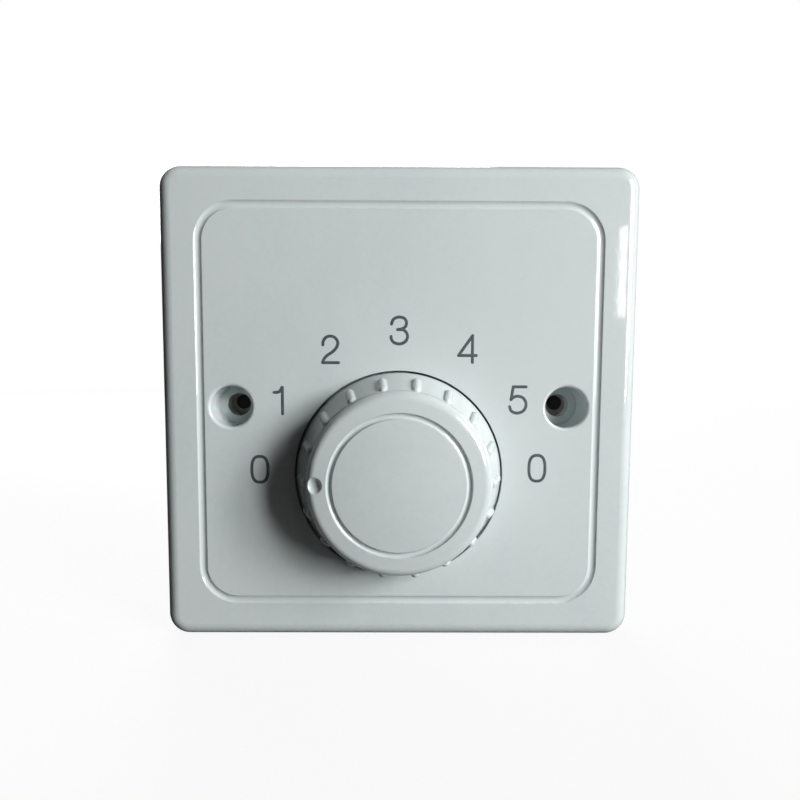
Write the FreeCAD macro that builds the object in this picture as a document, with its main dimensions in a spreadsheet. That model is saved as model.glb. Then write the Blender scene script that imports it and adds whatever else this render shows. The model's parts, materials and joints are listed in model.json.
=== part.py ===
import FreeCAD, Part

import math
import os
import re

import Sketcher
from FreeCAD import Rotation, Vector

# Rotary fan speed switch on a square wall plate.
#
# The wall plane is y = 0, the room is towards -Y, +Z is up, and the origin is the plate's centre
# on the wall plane. The knob turns about a line along Y that lies knob_drop below the origin.

# Driving dimensions, in millimetres and degrees.
SIZES = {
    # Front plate
    "plate_width": 86.0,
    "plate_height": 86.0,
    "plate_depth": 8.0,
    "plate_corner": 4.2,
    "plate_edge": 2.6,
    "plate_draft": 1.3,
    "front_wall": 2.2,
    "side_wall": 2.0,
    "inside_corner": 1.5,
    "groove_span": 71.2,
    "groove_corner": 6.3,
    "groove_width": 1.4,
    "groove_depth": 0.3,
    # Wall screw holes
    "screw_pitch": 60.3,
    "recess_dia": 7.4,
    "recess_depth": 5.7,
    "recess_round": 0.6,
    "screw_bore": 4.3,
    "pillar_dia": 11.0,
    # Well that the knob sinks into
    "knob_drop": 12.25,
    "knob_gap": 0.35,
    "well_depth": 3.0,
    "well_floor": 2.0,
    "cup_wall": 2.0,
    # Knob
    "knob_base_dia": 36.9,
    "knob_rise": 10.2,
    "knob_skirt": 2.5,
    "knob_wall": 1.6,
    "knob_crown": 2.5,
    "ledge_rise": 7.4,
    "ledge_dia": 31.5,
    "rim_dia": 31.3,
    "rim_round": 1.7,
    "dome_angle": 7.0,
    "ring_dia": 23.2,
    "ring_width": 1.0,
    "ring_depth": 0.42,
    "dimple_place": 14.2,
    "dimple_dia": 2.8,
    "dimple_depth": 0.75,
    "rib_angle": 20.0,
    "rib_width": 1.7,
    "rib_proud": 0.6,
    "rib_foot": 2.4,
    "hub_dia": 10.0,
    "web_count": 6,
    "web_thick": 1.2,
    "web_reach": 4.0,
    # Shaft, its clip and its bush
    "shaft_dia": 6.0,
    "shaft_flat": 1.5,
    "shaft_tip_gap": 0.3,
    "rear_dia": 4.6,
    "rear_flat": 1.7,
    "shaft_tail": 1.0,
    "running_gap": 0.05,
    "press_gap": 0.02,
    "clip_thick": 0.3,
    "clip_gap": 0.08,
    "clip_width": 3.6,
    "circlip_dia": 9.4,
    "circlip_core": 5.2,
    "circlip_thick": 0.6,
    "circlip_play": 0.1,
    "circlip_mouth": 4.2,
    "hub_clearance": 0.5,
    "bush_dia": 9.0,
    "bush_length": 5.7,
    "bush_gap": 0.1,
    "flange_dia": 29.0,
    "flange_thick": 1.6,
    "lug_place": 11.0,
    "lug_dia": 2.4,
    "lug_length": 1.5,
    "nut_across": 13.0,
    "nut_thick": 2.0,
    "lock_dia": 14.0,
    "lock_thick": 0.6,
    "lock_tooth": 1.2,
    "lock_notch": 1.0,
    "lock_teeth": 12,
    # Star wheel, its spring and its stops
    "detent_angle": 30.0,
    "star_dia": 16.0,
    "star_gap": 0.3,
    "star_thick": 1.8,
    "valley_ring": 8.4,
    "valley_radius": 1.9,
    "finger_reach": 10.6,
    "finger_width": 2.0,
    "stop_ring": 9.8,
    "stop_dia": 2.4,
    "stop_gap": 0.15,
    "peg_x": 8.2,
    "peg_z": 9.0,
    "peg_dia": 1.6,
    "spring_thick": 0.35,
    "spring_slope": 60.0,
    "nose_gap": 0.15,
    # Rotor, wafer and contacts
    "rotor_dia": 13.0,
    "rotor_thick": 1.6,
    "arm_reach": 9.2,
    "arm_width": 4.4,
    "wiper_start": 4.6,
    "wiper_width": 2.4,
    "wiper_end": 0.2,
    "wiper_thick": 0.4,
    "nose_height": 0.25,
    "nose_dia": 1.6,
    "contact_gap": 0.1,
    "contact_ring": 9.7,
    "contact_head": 0.45,
    "contact_dia": 2.8,
    "contact_shank": 1.6,
    "contact_collar": 2.6,
    "collar_thick": 0.4,
    "tail_dia": 1.2,
    "tail_length": 2.4,
    "common_ring": 6.5,
    "common_width": 2.2,
    "common_lug": 2.4,
    "wafer_thick": 1.2,
    "pillar_place": 12.6,
    "post_dia": 3.2,
    # Choke
    "core_clear": 1.75,
    "core_gap": 0.4,
    "leg_width": 6.0,
    "window_width": 8.0,
    "window_height": 17.0,
    "window_gap": 0.2,
    "tongue_width": 12.0,
    "yoke": 5.5,
    "stack": 14.0,
    "slot_gap": 0.1,
    "bobbin_wall": 0.8,
    "bobbin_flange": 1.0,
    "winding_margin": 0.6,
    "winding_corner": 2.5,
    "tape_thick": 0.3,
    "choke_front_gap": 0.2,
    "choke_back_gap": 0.6,
    "strap_thick": 0.8,
    "strap_gap": 0.1,
    "strap_height": 16.0,
    "foot_reach": 5.6,
    "foot_screw": 3.4,
    "pin_dia": 0.9,
    "pin_length": 3.0,
    "pin_pitch": 4.0,
    "pin_inset": 2.2,
    # Rear housing
    "housing_wall": 1.6,
    "housing_corner": 3.0,
    "housing_edge": 1.2,
    "housing_margin": 0.95,
    "pillar_gap": 0.45,
    "boss_offset": 2.9,
    "boss_inset": 6.0,
    "boss_dia": 6.4,
    "ear_thick": 1.8,
    "ear_dia": 6.4,
    "pilot_floor": 1.2,
    "tapping_dia": 2.8,
    "screw_clear": 0.15,
    "vent_width": 1.8,
    "vent_length": 20.0,
    "vent_pitch": 4.6,
    "vent_count": 5,
    # Terminals
    "block_width": 27.0,
    "block_height": 12.0,
    "block_length": 12.0,
    "block_step": 1.5,
    "block_inset": 0.4,
    "opening_gap": 0.2,
    "terminal_x": 6.5,
    "clamp_width": 7.0,
    "clamp_length": 7.4,
    "clamp_height": 8.2,
    "clamp_gap": 0.2,
    "clamp_back": 3.2,
    "block_floor": 1.6,
    "wire_hole": 4.4,
    "entry_side": 1.5,
    "entry_margin": 1.6,
    "entry_corner": 1.8,
    "wire_bore": 3.6,
    "wire_depth": 6.6,
    "driver_hole": 5.8,
    "tab_width": 3.0,
    "tab_thick": 0.8,
    "tab_rise": 4.6,
    # Screws and leads
    "head_dia": 5.0,
    "head_height": 1.0,
    "tapping_length": 5.0,
    "wafer_head_dia": 3.2,
    "wafer_screw_dia": 1.6,
    "wafer_screw_length": 4.2,
    "choke_screw_dia": 2.5,
    "choke_screw_length": 3.4,
    "clamp_screw_dia": 3.4,
    "clamp_head_dia": 5.4,
    "clamp_head_height": 1.8,
    "backed_off": 2.2,
    "slot_width": 0.8,
    "slot_depth": 0.5,
    "lead_dia": 1.3,
    "bend_share": 0.45,
    "feed_straight": 0.34,
    "feed_low_x": 0.25,
    "feed_low_y": 0.52,
    "feed_low_rise": 2.1,
    "feed_high_x": 0.63,
    "feed_high_y": 0.76,
    "feed_high_rise": 6.8,
    "feed_drop": 5.2,
    "return_high": 0.64,
    "return_low": 0.32,
    "head_round": 0.4,
    "web_bite": 0.5,
    "tap_count": 5,
}

# Planes, radii and places that follow from the driving dimensions.
PLACES = {
    "inner_face": "front_wall - plate_depth",
    "mid_wall": "front_wall / 2 - plate_depth",
    "well_face": "well_depth - plate_depth",
    "seat": "well_depth + well_floor - plate_depth",
    "well_radius": "knob_base_dia / 2 + knob_gap",
    "cup_radius": "well_radius + cup_wall",
    "groove_radius": "(groove_width ^ 2 / 4 + groove_depth ^ 2) / (2 * groove_depth)",
    "groove_level": "groove_depth - groove_radius - plate_depth",
    "crown": "-plate_depth - knob_rise",
    "crown_inside": "crown + knob_crown",
    "ledge": "-plate_depth - ledge_rise",
    "skirt": "knob_skirt - plate_depth",
    "cone_length": "sqrt((knob_base_dia / 2 - ledge_dia / 2) ^ 2 + ledge_rise ^ 2)",
    "cone_cos": "ledge_rise / cone_length",
    "cone_sin": "(knob_base_dia / 2 - ledge_dia / 2) / cone_length",
    "cone_taper": "(knob_base_dia / 2 - ledge_dia / 2) / ledge_rise",
    "rib_sink": "(rib_width / 2 - rib_proud) / cone_cos",
    "rib_low": "rib_foot + rib_width / 2",
    "rib_high": "ledge_rise - rib_width / 2 * cone_cos",
    "dimple_radius": "(dimple_dia ^ 2 / 4 + dimple_depth ^ 2) / (2 * dimple_depth)",
    "dome_edge": "rim_dia / 2 - rim_round * (1 - sin(dome_angle))",
    "dome_radius": "dome_edge / sin(dome_angle)",
    "edge_level": "crown + dome_radius * (1 - cos(dome_angle))",
    "ring_level": "crown + dome_radius - sqrt(dome_radius ^ 2 - ring_dia ^ 2 / 4)",
    "dimple_face": "crown + dome_radius - sqrt(dome_radius ^ 2 - dimple_place ^ 2)",
    "dimple_level": "dimple_face + dimple_depth - dimple_radius",
    "bush_front": "seat - bush_length",
    "circlip_back": "bush_front - circlip_play",
    "circlip_front": "circlip_back - circlip_thick",
    "hub_foot": "circlip_front - hub_clearance",
    "hub_flat": "shaft_flat + clip_thick + 2 * clip_gap",
    "flange_back": "seat + flange_thick",
    "star_front": "flange_back + star_gap",
    "star_back": "star_front + star_thick",
    "rotor_back": "star_back + rotor_thick",
    "wiper_back": "rotor_back + wiper_thick",
    "contact_face": "wiper_back + nose_height + contact_gap",
    "wafer_front": "contact_face + contact_head",
    "wafer_back": "wafer_front + wafer_thick",
    "tail_end": "wafer_back + tail_length",
    "nose_radius": "valley_radius - nose_gap",
    "spring_level": "-peg_z - peg_dia / 2 - running_gap",
    "stop_drop": "finger_width / 2 + stop_dia / 2 + stop_gap",
    "stop_side": "sqrt(stop_ring ^ 2 - stop_drop ^ 2)",
    "lock_front": "well_face - lock_thick",
    "nut_corner": "nut_across / 2 / cos(30)",
    "core_half": "leg_width + window_width + tongue_width / 2",
    "core_base": "flange_dia / 2 - knob_drop + core_clear",
    "window_base": "core_base + yoke",
    "window_top": "window_base + window_height",
    "core_top": "window_top + yoke",
    "flange_half_x": "tongue_width / 2 + window_width - window_gap",
    "flange_half_y": "stack / 2 + window_width - window_gap",
    "choke_y": "seat + choke_front_gap + flange_half_y",
    "choke_z": "(core_base + core_top) / 2",
    "stack_front": "choke_y - stack / 2",
    "stack_back": "choke_y + stack / 2",
    "tube_half_x": "tongue_width / 2 + slot_gap + bobbin_wall",
    "tube_half_y": "stack / 2 + slot_gap + bobbin_wall",
    "wound_half_x": "flange_half_x - winding_margin",
    "wound_half_y": "flange_half_y - winding_margin",
    "wound_base": "window_base + slot_gap + bobbin_flange",
    "wound_top": "window_top - slot_gap - bobbin_flange",
    "pin_y": "choke_y + flange_half_y - pin_inset",
    "pin_top": "window_base + slot_gap",
    "pin_end": "pin_top - pin_length",
    "strap_inner": "core_half + strap_gap",
    "strap_outer": "strap_inner + strap_thick",
    "foot_x": "strap_outer - foot_screw",
    "housing_inside": "choke_y + flange_half_y + choke_back_gap",
    "housing_back": "housing_inside + housing_wall",
    "housing_half": "screw_pitch / 2 - pillar_dia / 2 - pillar_gap",
    "housing_top": "core_top + core_gap + housing_wall",
    "housing_base": "-knob_drop - cup_radius - housing_margin",
    "boss_x": "housing_half + boss_offset",
    "boss_top": "housing_top - boss_inset",
    "boss_base": "housing_base + boss_inset",
    "tapping_top": "seat + ear_thick",
    "block_base": "housing_base + housing_wall",
    "block_top": "block_base + block_height",
    "block_front": "housing_inside - block_length",
    "block_back": "housing_back - block_inset",
    "clamp_rear": "housing_inside - clamp_back",
    "clamp_y": "clamp_rear - clamp_length / 2",
    "clamp_base": "block_base + block_floor",
    "clamp_top": "clamp_base + clamp_height",
    "clamp_z": "(clamp_base + clamp_top) / 2",
    "tab_top": "clamp_top + tab_rise",
}

NAMES = re.compile(r"[a-z_][a-z_0-9]*")
TAPS = SIZES["tap_count"]

doc = FreeCAD.newDocument("FanSpeedSwitch")
sheet = doc.addObject("Spreadsheet::Sheet", "Sizes")
for row, (alias, number) in enumerate(SIZES.items(), start=1):
    sheet.set("A%d" % row, alias)
    sheet.set("B%d" % row, str(number))
    sheet.setAlias("B%d" % row, alias)
doc.recompute()


def bind(text):
    """An expression with its places spelled out and each size read from the sheet."""

    def spell(match):
        name = match.group(0)
        if name in PLACES:
            return "(" + bind(PLACES[name]) + ")"
        return "Sizes." + name if name in SIZES else name

    return NAMES.sub(spell, text)


def value(text):
    """What an expression comes to, in millimetres or degrees."""
    return float(sheet.evalExpression(bind(text)))


# Bodies, sketches and features


def new_body(label, x="0", y="0", z="0"):
    """A body with its own label, set at a place worked out from the sheet."""
    body = doc.addObject("PartDesign::Body", label)
    body.Label = label
    for axis, place in (("x", x), ("y", y), ("z", z)):
        if place != "0":
            body.setExpression("Placement.Base." + axis, bind(place))
    return body


def new_sketch(body, name, role="XZ_Plane", level="0"):
    """A sketch on one of the body's own planes, moved along the plane's axis to a level."""
    plane = [feature for feature in body.Origin.OriginFeatures if feature.Role == role][0]
    sketch = body.newObject("Sketcher::SketchObject", name)
    sketch.AttachmentSupport = [(plane, "")]
    sketch.MapMode = "FlatFace"
    if level != "0":
        facing = "-(%s)" if role == "XZ_Plane" else "%s"
        sketch.setExpression("AttachmentOffset.Base.z", bind(facing % level))
    return sketch


def pin_point(sketch, index, corner, across, along):
    """Hold one point of a sketch at two expressions measured from the sketch's origin."""
    for kind, text, axis in (("DistanceX", across, -2), ("DistanceY", along, -1)):
        if text == "0":
            sketch.addConstraint(Sketcher.Constraint("PointOnObject", index, corner, axis))
        else:
            held = Sketcher.Constraint(kind, -1, 1, index, corner, value(text))
            number = sketch.addConstraint(held)
            sketch.setExpression("Constraints[%d]" % number, bind(text))


def arc_between(start, end, radius):
    """The short arc from start to end, and whether it turns left; a negative radius turns right."""
    chord = end - start
    middle = (start + end) * 0.5
    left = Vector(-chord.y, chord.x, 0) / chord.Length
    rise = math.sqrt(max(radius ** 2 - chord.Length ** 2 / 4, 0))
    centre = middle + left * math.copysign(rise, radius)
    first, last = (start, end) if radius > 0 else (end, start)
    begin = math.atan2(first.y - centre.y, first.x - centre.x)
    finish = math.atan2(last.y - centre.y, last.x - centre.x)
    if finish < begin:
        finish += 2 * math.pi
    circle = Part.Circle(centre, Vector(0, 0, 1), abs(radius))
    return Part.ArcOfCircle(circle, begin, finish), radius > 0


def outline(sketch, corners, arcs=None):
    """A closed outline. arcs maps the corner that an arc starts from to the arc's radius."""
    arcs = arcs or {}
    points = [Vector(value(across), value(along), 0) for across, along in corners]
    ends = []
    count = len(corners)
    for number, start in enumerate(points):
        end = points[(number + 1) % count]
        if number in arcs:
            curve, leftward = arc_between(start, end, value(arcs[number]))
            index = sketch.addGeometry(curve, False)
            ends.append((index, 1, 2) if leftward else (index, 2, 1))
            held = Sketcher.Constraint("Radius", index, abs(value(arcs[number])))
            radius = sketch.addConstraint(held)
            sketch.setExpression("Constraints[%d]" % radius, bind("abs(%s)" % arcs[number]))
        else:
            index = sketch.addGeometry(Part.LineSegment(start, end), False)
            ends.append((index, 1, 2))
    for number, (index, first, last) in enumerate(ends):
        following = ends[(number + 1) % count]
        sketch.addConstraint(
            Sketcher.Constraint("Coincident", index, last, following[0], following[1])
        )
        pin_point(sketch, index, first, *corners[number])


def rectangle(sketch, left, low, right, high):
    """A rectangle between two corners."""
    outline(sketch, [(left, low), (right, low), (right, high), (left, high)])


def rounded(sketch, left, low, right, high, radius):
    """A rectangle with rounded corners."""
    inner_left, inner_right = "%s + (%s)" % (left, radius), "%s - (%s)" % (right, radius)
    inner_low, inner_high = "%s + (%s)" % (low, radius), "%s - (%s)" % (high, radius)
    corners = [
        (inner_left, low),
        (inner_right, low),
        (right, inner_low),
        (right, inner_high),
        (inner_right, high),
        (inner_left, high),
        (left, inner_high),
        (left, inner_low),
    ]
    outline(sketch, corners, {1: radius, 3: radius, 5: radius, 7: radius})


def circle(sketch, across, along, radius):
    """A circle whose centre and radius are expressions."""
    centre = Vector(value(across), value(along), 0)
    index = sketch.addGeometry(Part.Circle(centre, Vector(0, 0, 1), value(radius)), False)
    number = sketch.addConstraint(Sketcher.Constraint("Radius", index, value(radius)))
    sketch.setExpression("Constraints[%d]" % number, bind(radius))
    pin_point(sketch, index, 3, across, along)


def dee(sketch, radius, flat):
    """A round outline about the origin with one flat across its top."""
    reach, level = value(radius), value(flat)
    side = math.sqrt(reach ** 2 - level ** 2)
    angle = math.asin(level / reach)
    circle_line = Part.Circle(Vector(0, 0, 0), Vector(0, 0, 1), reach)
    arc = sketch.addGeometry(Part.ArcOfCircle(circle_line, math.pi - angle, 2 * math.pi + angle))
    line = sketch.addGeometry(Part.LineSegment(Vector(side, level, 0), Vector(-side, level, 0)))
    sketch.addConstraint(Sketcher.Constraint("Coincident", arc, 3, -1, 1))
    sketch.addConstraint(Sketcher.Constraint("Coincident", arc, 2, line, 1))
    sketch.addConstraint(Sketcher.Constraint("Coincident", line, 2, arc, 1))
    sketch.addConstraint(Sketcher.Constraint("Horizontal", line))
    number = sketch.addConstraint(Sketcher.Constraint("Radius", arc, reach))
    sketch.setExpression("Constraints[%d]" % number, bind(radius))
    number = sketch.addConstraint(Sketcher.Constraint("DistanceY", -1, 1, line, 1, level))
    sketch.setExpression("Constraints[%d]" % number, bind(flat))


def grown(body, before):
    """Check that the last feature changed the body's volume the way it should."""
    doc.recompute()
    change = body.Shape.Volume - before
    if abs(change) < 1e-6:
        raise RuntimeError("a feature of %s changes nothing" % body.Label)
    return change


def volume_of(body):
    """The body's volume so far."""
    doc.recompute()
    return 0.0 if body.Shape.isNull() else body.Shape.Volume


def pad(body, sketch, length, flip=False, both_ways=False, draft=None):
    """Material along the sketch's normal, towards the room on an XZ sketch."""
    before = volume_of(body)
    feature = body.newObject("PartDesign::Pad", sketch.Name + "Pad")
    feature.Profile = sketch
    feature.setExpression("Length", bind(length))
    feature.Reversed = flip
    feature.Midplane = both_ways
    if draft:
        feature.setExpression("TaperAngle", bind(draft))
    if grown(body, before) < 0:
        raise RuntimeError(sketch.Name + " took material away")
    return feature


def pocket(body, sketch, length=None, flip=False, both_ways=False):
    """A cut along the sketch's normal, right through where no length is given."""
    before = volume_of(body)
    feature = body.newObject("PartDesign::Pocket", sketch.Name + "Pocket")
    feature.Profile = sketch
    if length:
        feature.setExpression("Length", bind(length))
    else:
        feature.Type = 1
    feature.Reversed = not flip
    feature.Midplane = both_ways
    if grown(body, before) > 0:
        raise RuntimeError(sketch.Name + " added material")
    return feature


def turn(body, sketch, axis="V_Axis", cut=False):
    """A full turn of the sketch about one of its axes, as material or as a cut."""
    before = volume_of(body)
    kind = "PartDesign::Groove" if cut else "PartDesign::Revolution"
    feature = body.newObject(kind, sketch.Name + ("Groove" if cut else "Turn"))
    feature.Profile = sketch
    feature.ReferenceAxis = (sketch, [axis])
    feature.Angle = 360
    change = grown(body, before)
    if (change > 0) == cut:
        raise RuntimeError(sketch.Name + " went the wrong way")
    return feature


def add_axis(sketch, first, last):
    """A construction line to turn an outline about, named Axis0."""
    start = Vector(value(first[0]), value(first[1]), 0)
    end = Vector(value(last[0]), value(last[1]), 0)
    index = sketch.addGeometry(Part.LineSegment(start, end), True)
    pin_point(sketch, index, 1, *first)
    pin_point(sketch, index, 2, *last)


def polar(body, feature, sketch, count, axis="V_Axis"):
    """Copies of a feature around an axis of its sketch, evenly spaced over a full turn."""
    before = volume_of(body)
    pattern = body.newObject("PartDesign::PolarPattern", feature.Name + "Ring")
    pattern.Originals = [feature]
    pattern.Axis = (sketch, [axis])
    pattern.Angle = 360
    pattern.setExpression("Occurrences", bind(count))
    body.Tip = pattern
    grown(body, before)
    return pattern


def row_of(body, feature, sketch, span, count, axis="H_Axis"):
    """Copies of a feature in a straight row along an axis of its sketch."""
    before = volume_of(body)
    pattern = body.newObject("PartDesign::LinearPattern", feature.Name + "Row")
    pattern.Originals = [feature]
    pattern.Direction = (sketch, [axis])
    pattern.setExpression("Length", bind(span))
    pattern.setExpression("Occurrences", bind(count))
    body.Tip = pattern
    grown(body, before)
    return pattern


def edges_where(feature, test):
    """The names of a feature's edges whose bounding box and curve pass a test."""
    names = []
    for number, edge in enumerate(feature.Shape.Edges, start=1):
        if test(edge):
            names.append("Edge%d" % number)
    return names


def round_edges(body, feature, test, radius):
    """A fillet on the edges that pass a test."""
    before = volume_of(body)
    fillet = body.newObject("PartDesign::Fillet", feature.Name + "Round")
    fillet.Base = (feature, edges_where(feature, test))
    fillet.setExpression("Radius", bind(radius))
    grown(body, before)
    return fillet


def at_level(edge, level):
    """Whether an edge lies wholly in the plane y = level."""
    box = edge.BoundBox
    return abs(box.YMin - level) < 1e-4 and abs(box.YMax - level) < 1e-4


# Front plate


def front_plate():
    """The moulded plate: skirted front, panel groove, knob well, screw pillars and bosses."""
    plate = new_body("front_plate")
    half_x, half_z = "plate_width / 2", "plate_height / 2"
    face = value("-plate_depth")

    sketch = new_sketch(plate, "PlateOutline")
    rounded(sketch, "-" + half_x, "-" + half_z, half_x, half_z, "plate_corner")
    slab = pad(plate, sketch, "plate_depth", draft="-plate_draft")
    round_edges(plate, slab, lambda edge: at_level(edge, face), "plate_edge")

    sketch = new_sketch(plate, "BackHollow")
    rounded(
        sketch,
        "side_wall - " + half_x,
        "side_wall - " + half_z,
        half_x + " - side_wall",
        half_z + " - side_wall",
        "inside_corner",
    )
    pocket(plate, sketch, "plate_depth - front_wall")

    sketch = new_sketch(plate, "WellCup", level="seat")
    circle(sketch, "0", "-knob_drop", "cup_radius")
    pad(plate, sketch, "seat - mid_wall")
    sketch = new_sketch(plate, "ScrewPillars")
    circle(sketch, "-screw_pitch / 2", "0", "pillar_dia / 2")
    circle(sketch, "screw_pitch / 2", "0", "pillar_dia / 2")
    pad(plate, sketch, "-mid_wall")
    sketch = new_sketch(plate, "HousingBosses", level="seat")
    for side in ("-(boss_x)", "boss_x"):
        for end in ("boss_base", "boss_top"):
            circle(sketch, side, end, "boss_dia / 2")
    pad(plate, sketch, "seat - mid_wall")

    sketch = new_sketch(plate, "KnobWell", level="well_face")
    circle(sketch, "0", "-knob_drop", "well_radius")
    pocket(plate, sketch)
    sketch = new_sketch(plate, "BushHoles")
    circle(sketch, "0", "-knob_drop", "bush_dia / 2 + bush_gap")
    circle(sketch, "lug_place", "-knob_drop", "lug_dia / 2 + bush_gap")
    pocket(plate, sketch)
    sketch = new_sketch(plate, "ScrewBores")
    circle(sketch, "-screw_pitch / 2", "0", "screw_bore / 2")
    circle(sketch, "screw_pitch / 2", "0", "screw_bore / 2")
    pocket(plate, sketch)
    sketch = new_sketch(plate, "ScrewRecesses", level="recess_depth - plate_depth")
    circle(sketch, "-screw_pitch / 2", "0", "recess_dia / 2")
    circle(sketch, "screw_pitch / 2", "0", "recess_dia / 2")
    recess = pocket(plate, sketch)
    mouth = value("recess_dia / 2")
    round_edges(
        plate,
        recess,
        lambda edge: at_level(edge, face) and is_circle(edge, mouth),
        "recess_round",
    )
    sketch = new_sketch(plate, "BossPilots", level="seat")
    for side in ("-(boss_x)", "boss_x"):
        for end in ("boss_base", "boss_top"):
            circle(sketch, side, end, "tapping_dia / 2 + press_gap")
    pocket(plate, sketch, "seat + plate_depth - pilot_floor")
    panel_groove(plate)
    return plate


def is_circle(edge, radius):
    """Whether an edge is a circle of a given radius."""
    curve = edge.Curve
    return curve.TypeId == "Part::GeomCircle" and abs(curve.Radius - radius) < 1e-4


def panel_groove(plate):
    """The shallow round-bottomed groove that frames the panel, swept along its centre line."""
    spine = new_sketch(plate, "GrooveLine", level="groove_level")
    half, bend = "groove_span / 2", "groove_corner"
    near = "%s - %s" % (half, bend)
    corners = [
        ("0", half),
        ("-(%s)" % near, half),
        ("-" + half, near),
        ("-" + half, "-(%s)" % near),
        ("-(%s)" % near, "-" + half),
        (near, "-" + half),
        (half, "-(%s)" % near),
        (half, near),
        (near, half),
    ]
    outline(spine, corners, {1: bend, 3: bend, 5: bend, 7: bend})
    profile = new_sketch(plate, "GrooveRound", role="YZ_Plane")
    circle(profile, "groove_level", half, "groove_radius")
    before = volume_of(plate)
    groove = plate.newObject("PartDesign::SubtractivePipe", "PanelGroove")
    groove.Profile = profile
    groove.Spine = spine
    if grown(plate, before) > 0:
        raise RuntimeError("the panel groove adds material")


# Knob and what turns with it


def knob():
    """The hollow knob: coned wall with ribs, ledge, domed crown, ring groove and dimple."""
    body = new_body("knob", z="-knob_drop")
    base, ledge_r, rim = "knob_base_dia / 2", "ledge_dia / 2", "rim_dia / 2"

    sketch = new_sketch(body, "KnobProfile", role="XY_Plane")
    corners = [
        ("0", "skirt"),
        ("0", "crown"),
        ("dome_edge", "edge_level"),
        (rim, "edge_level + rim_round * cos(dome_angle)"),
        (rim, "ledge"),
        (ledge_r, "ledge"),
        (base, "-plate_depth"),
        (base, "skirt"),
    ]
    outline(sketch, corners, {1: "dome_radius", 2: "rim_round"})
    turn(body, sketch)

    sketch = new_sketch(body, "RibProfile", role="XY_Plane")
    low_r = "%s - rib_low * cone_taper - rib_sink" % base
    high_r = "%s - rib_high * cone_taper - rib_sink" % base
    low_y, high_y = "-plate_depth - rib_low", "-plate_depth - rib_high"
    half = "rib_width / 2"
    along = ("%s * cone_sin" % half, "%s * cone_cos" % half)
    foot = ("%s + %s" % (low_r, along[0]), "%s + %s" % (low_y, along[1]))
    foot_side = ("%s + %s" % (low_r, along[1]), "%s - %s" % (low_y, along[0]))
    top_side = ("%s + %s" % (high_r, along[1]), "%s - %s" % (high_y, along[0]))
    top = ("%s - %s" % (high_r, along[0]), "%s - %s" % (high_y, along[1]))
    outline(sketch, [foot, foot_side, top_side, top], {0: "-" + half, 2: "-" + half})
    add_axis(sketch, foot, top)
    rib = turn(body, sketch, axis="Axis0")
    polar(body, rib, sketch, "360 / rib_angle")

    sketch = new_sketch(body, "KnobHollow", role="XY_Plane")
    corners = [
        ("0", "skirt"),
        ("0", "hub_foot"),
        ("hub_dia / 2", "hub_foot"),
        ("hub_dia / 2", "crown_inside"),
        (ledge_r + " - knob_wall", "crown_inside"),
        (base + " - knob_wall", "-plate_depth"),
        (base + " - knob_wall", "skirt"),
    ]
    outline(sketch, corners)
    turn(body, sketch, cut=True)

    sketch = new_sketch(body, "KnobWeb", role="XY_Plane")
    web_level = "crown_inside + web_reach"
    corners = [
        ("hub_dia / 2 - web_thick / 2", web_level),
        ("hub_dia / 2 - web_thick / 2", "crown_inside - web_bite"),
        (ledge_r + " - knob_wall / 2", "crown_inside - web_bite"),
        (ledge_r + " - knob_wall / 2", web_level),
    ]
    outline(sketch, corners)
    web = pad(body, sketch, "web_thick", both_ways=True)
    polar(body, web, sketch, "web_count")

    sketch = new_sketch(body, "HubBore", level="hub_foot")
    dee(sketch, "shaft_dia / 2 + running_gap", "hub_flat")
    pocket(body, sketch, "hub_foot - crown_inside")

    sketch = new_sketch(body, "RingGroove", role="XY_Plane")
    inner, outer = "ring_dia / 2 - ring_width / 2", "ring_dia / 2 + ring_width / 2"
    bend = "(ring_width ^ 2 / 4 + ring_depth ^ 2) / (2 * ring_depth)"
    above = "crown - ring_depth"
    corners = [(outer, above), (outer, "ring_level"), (inner, "ring_level"), (inner, above)]
    outline(sketch, corners, {1: bend})
    turn(body, sketch, cut=True)

    sketch = new_sketch(body, "PointerDimple", role="XY_Plane")
    near, far = "dimple_level + dimple_radius", "dimple_level - dimple_radius"
    side = ("dimple_radius - dimple_place", "dimple_level")
    bottom, top = ("-dimple_place", near), ("-dimple_place", far)
    corners = [top, side, bottom]
    outline(sketch, corners, {0: "dimple_radius", 1: "dimple_radius"})
    add_axis(sketch, top, bottom)
    turn(body, sketch, axis="Axis0", cut=True)
    return body


def knob_spring_clip():
    """The bowed spring leaf between the shaft's flat and the flat of the knob's bore."""
    body = new_body("knob_spring_clip", z="-knob_drop")
    sketch = new_sketch(body, "ClipLeaf", level="hub_foot")
    low = "shaft_flat + clip_gap"
    rectangle(sketch, "-clip_width / 2", low, "clip_width / 2", low + " + clip_thick")
    pad(body, sketch, "hub_foot - crown_inside - shaft_tip_gap")
    return body


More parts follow.
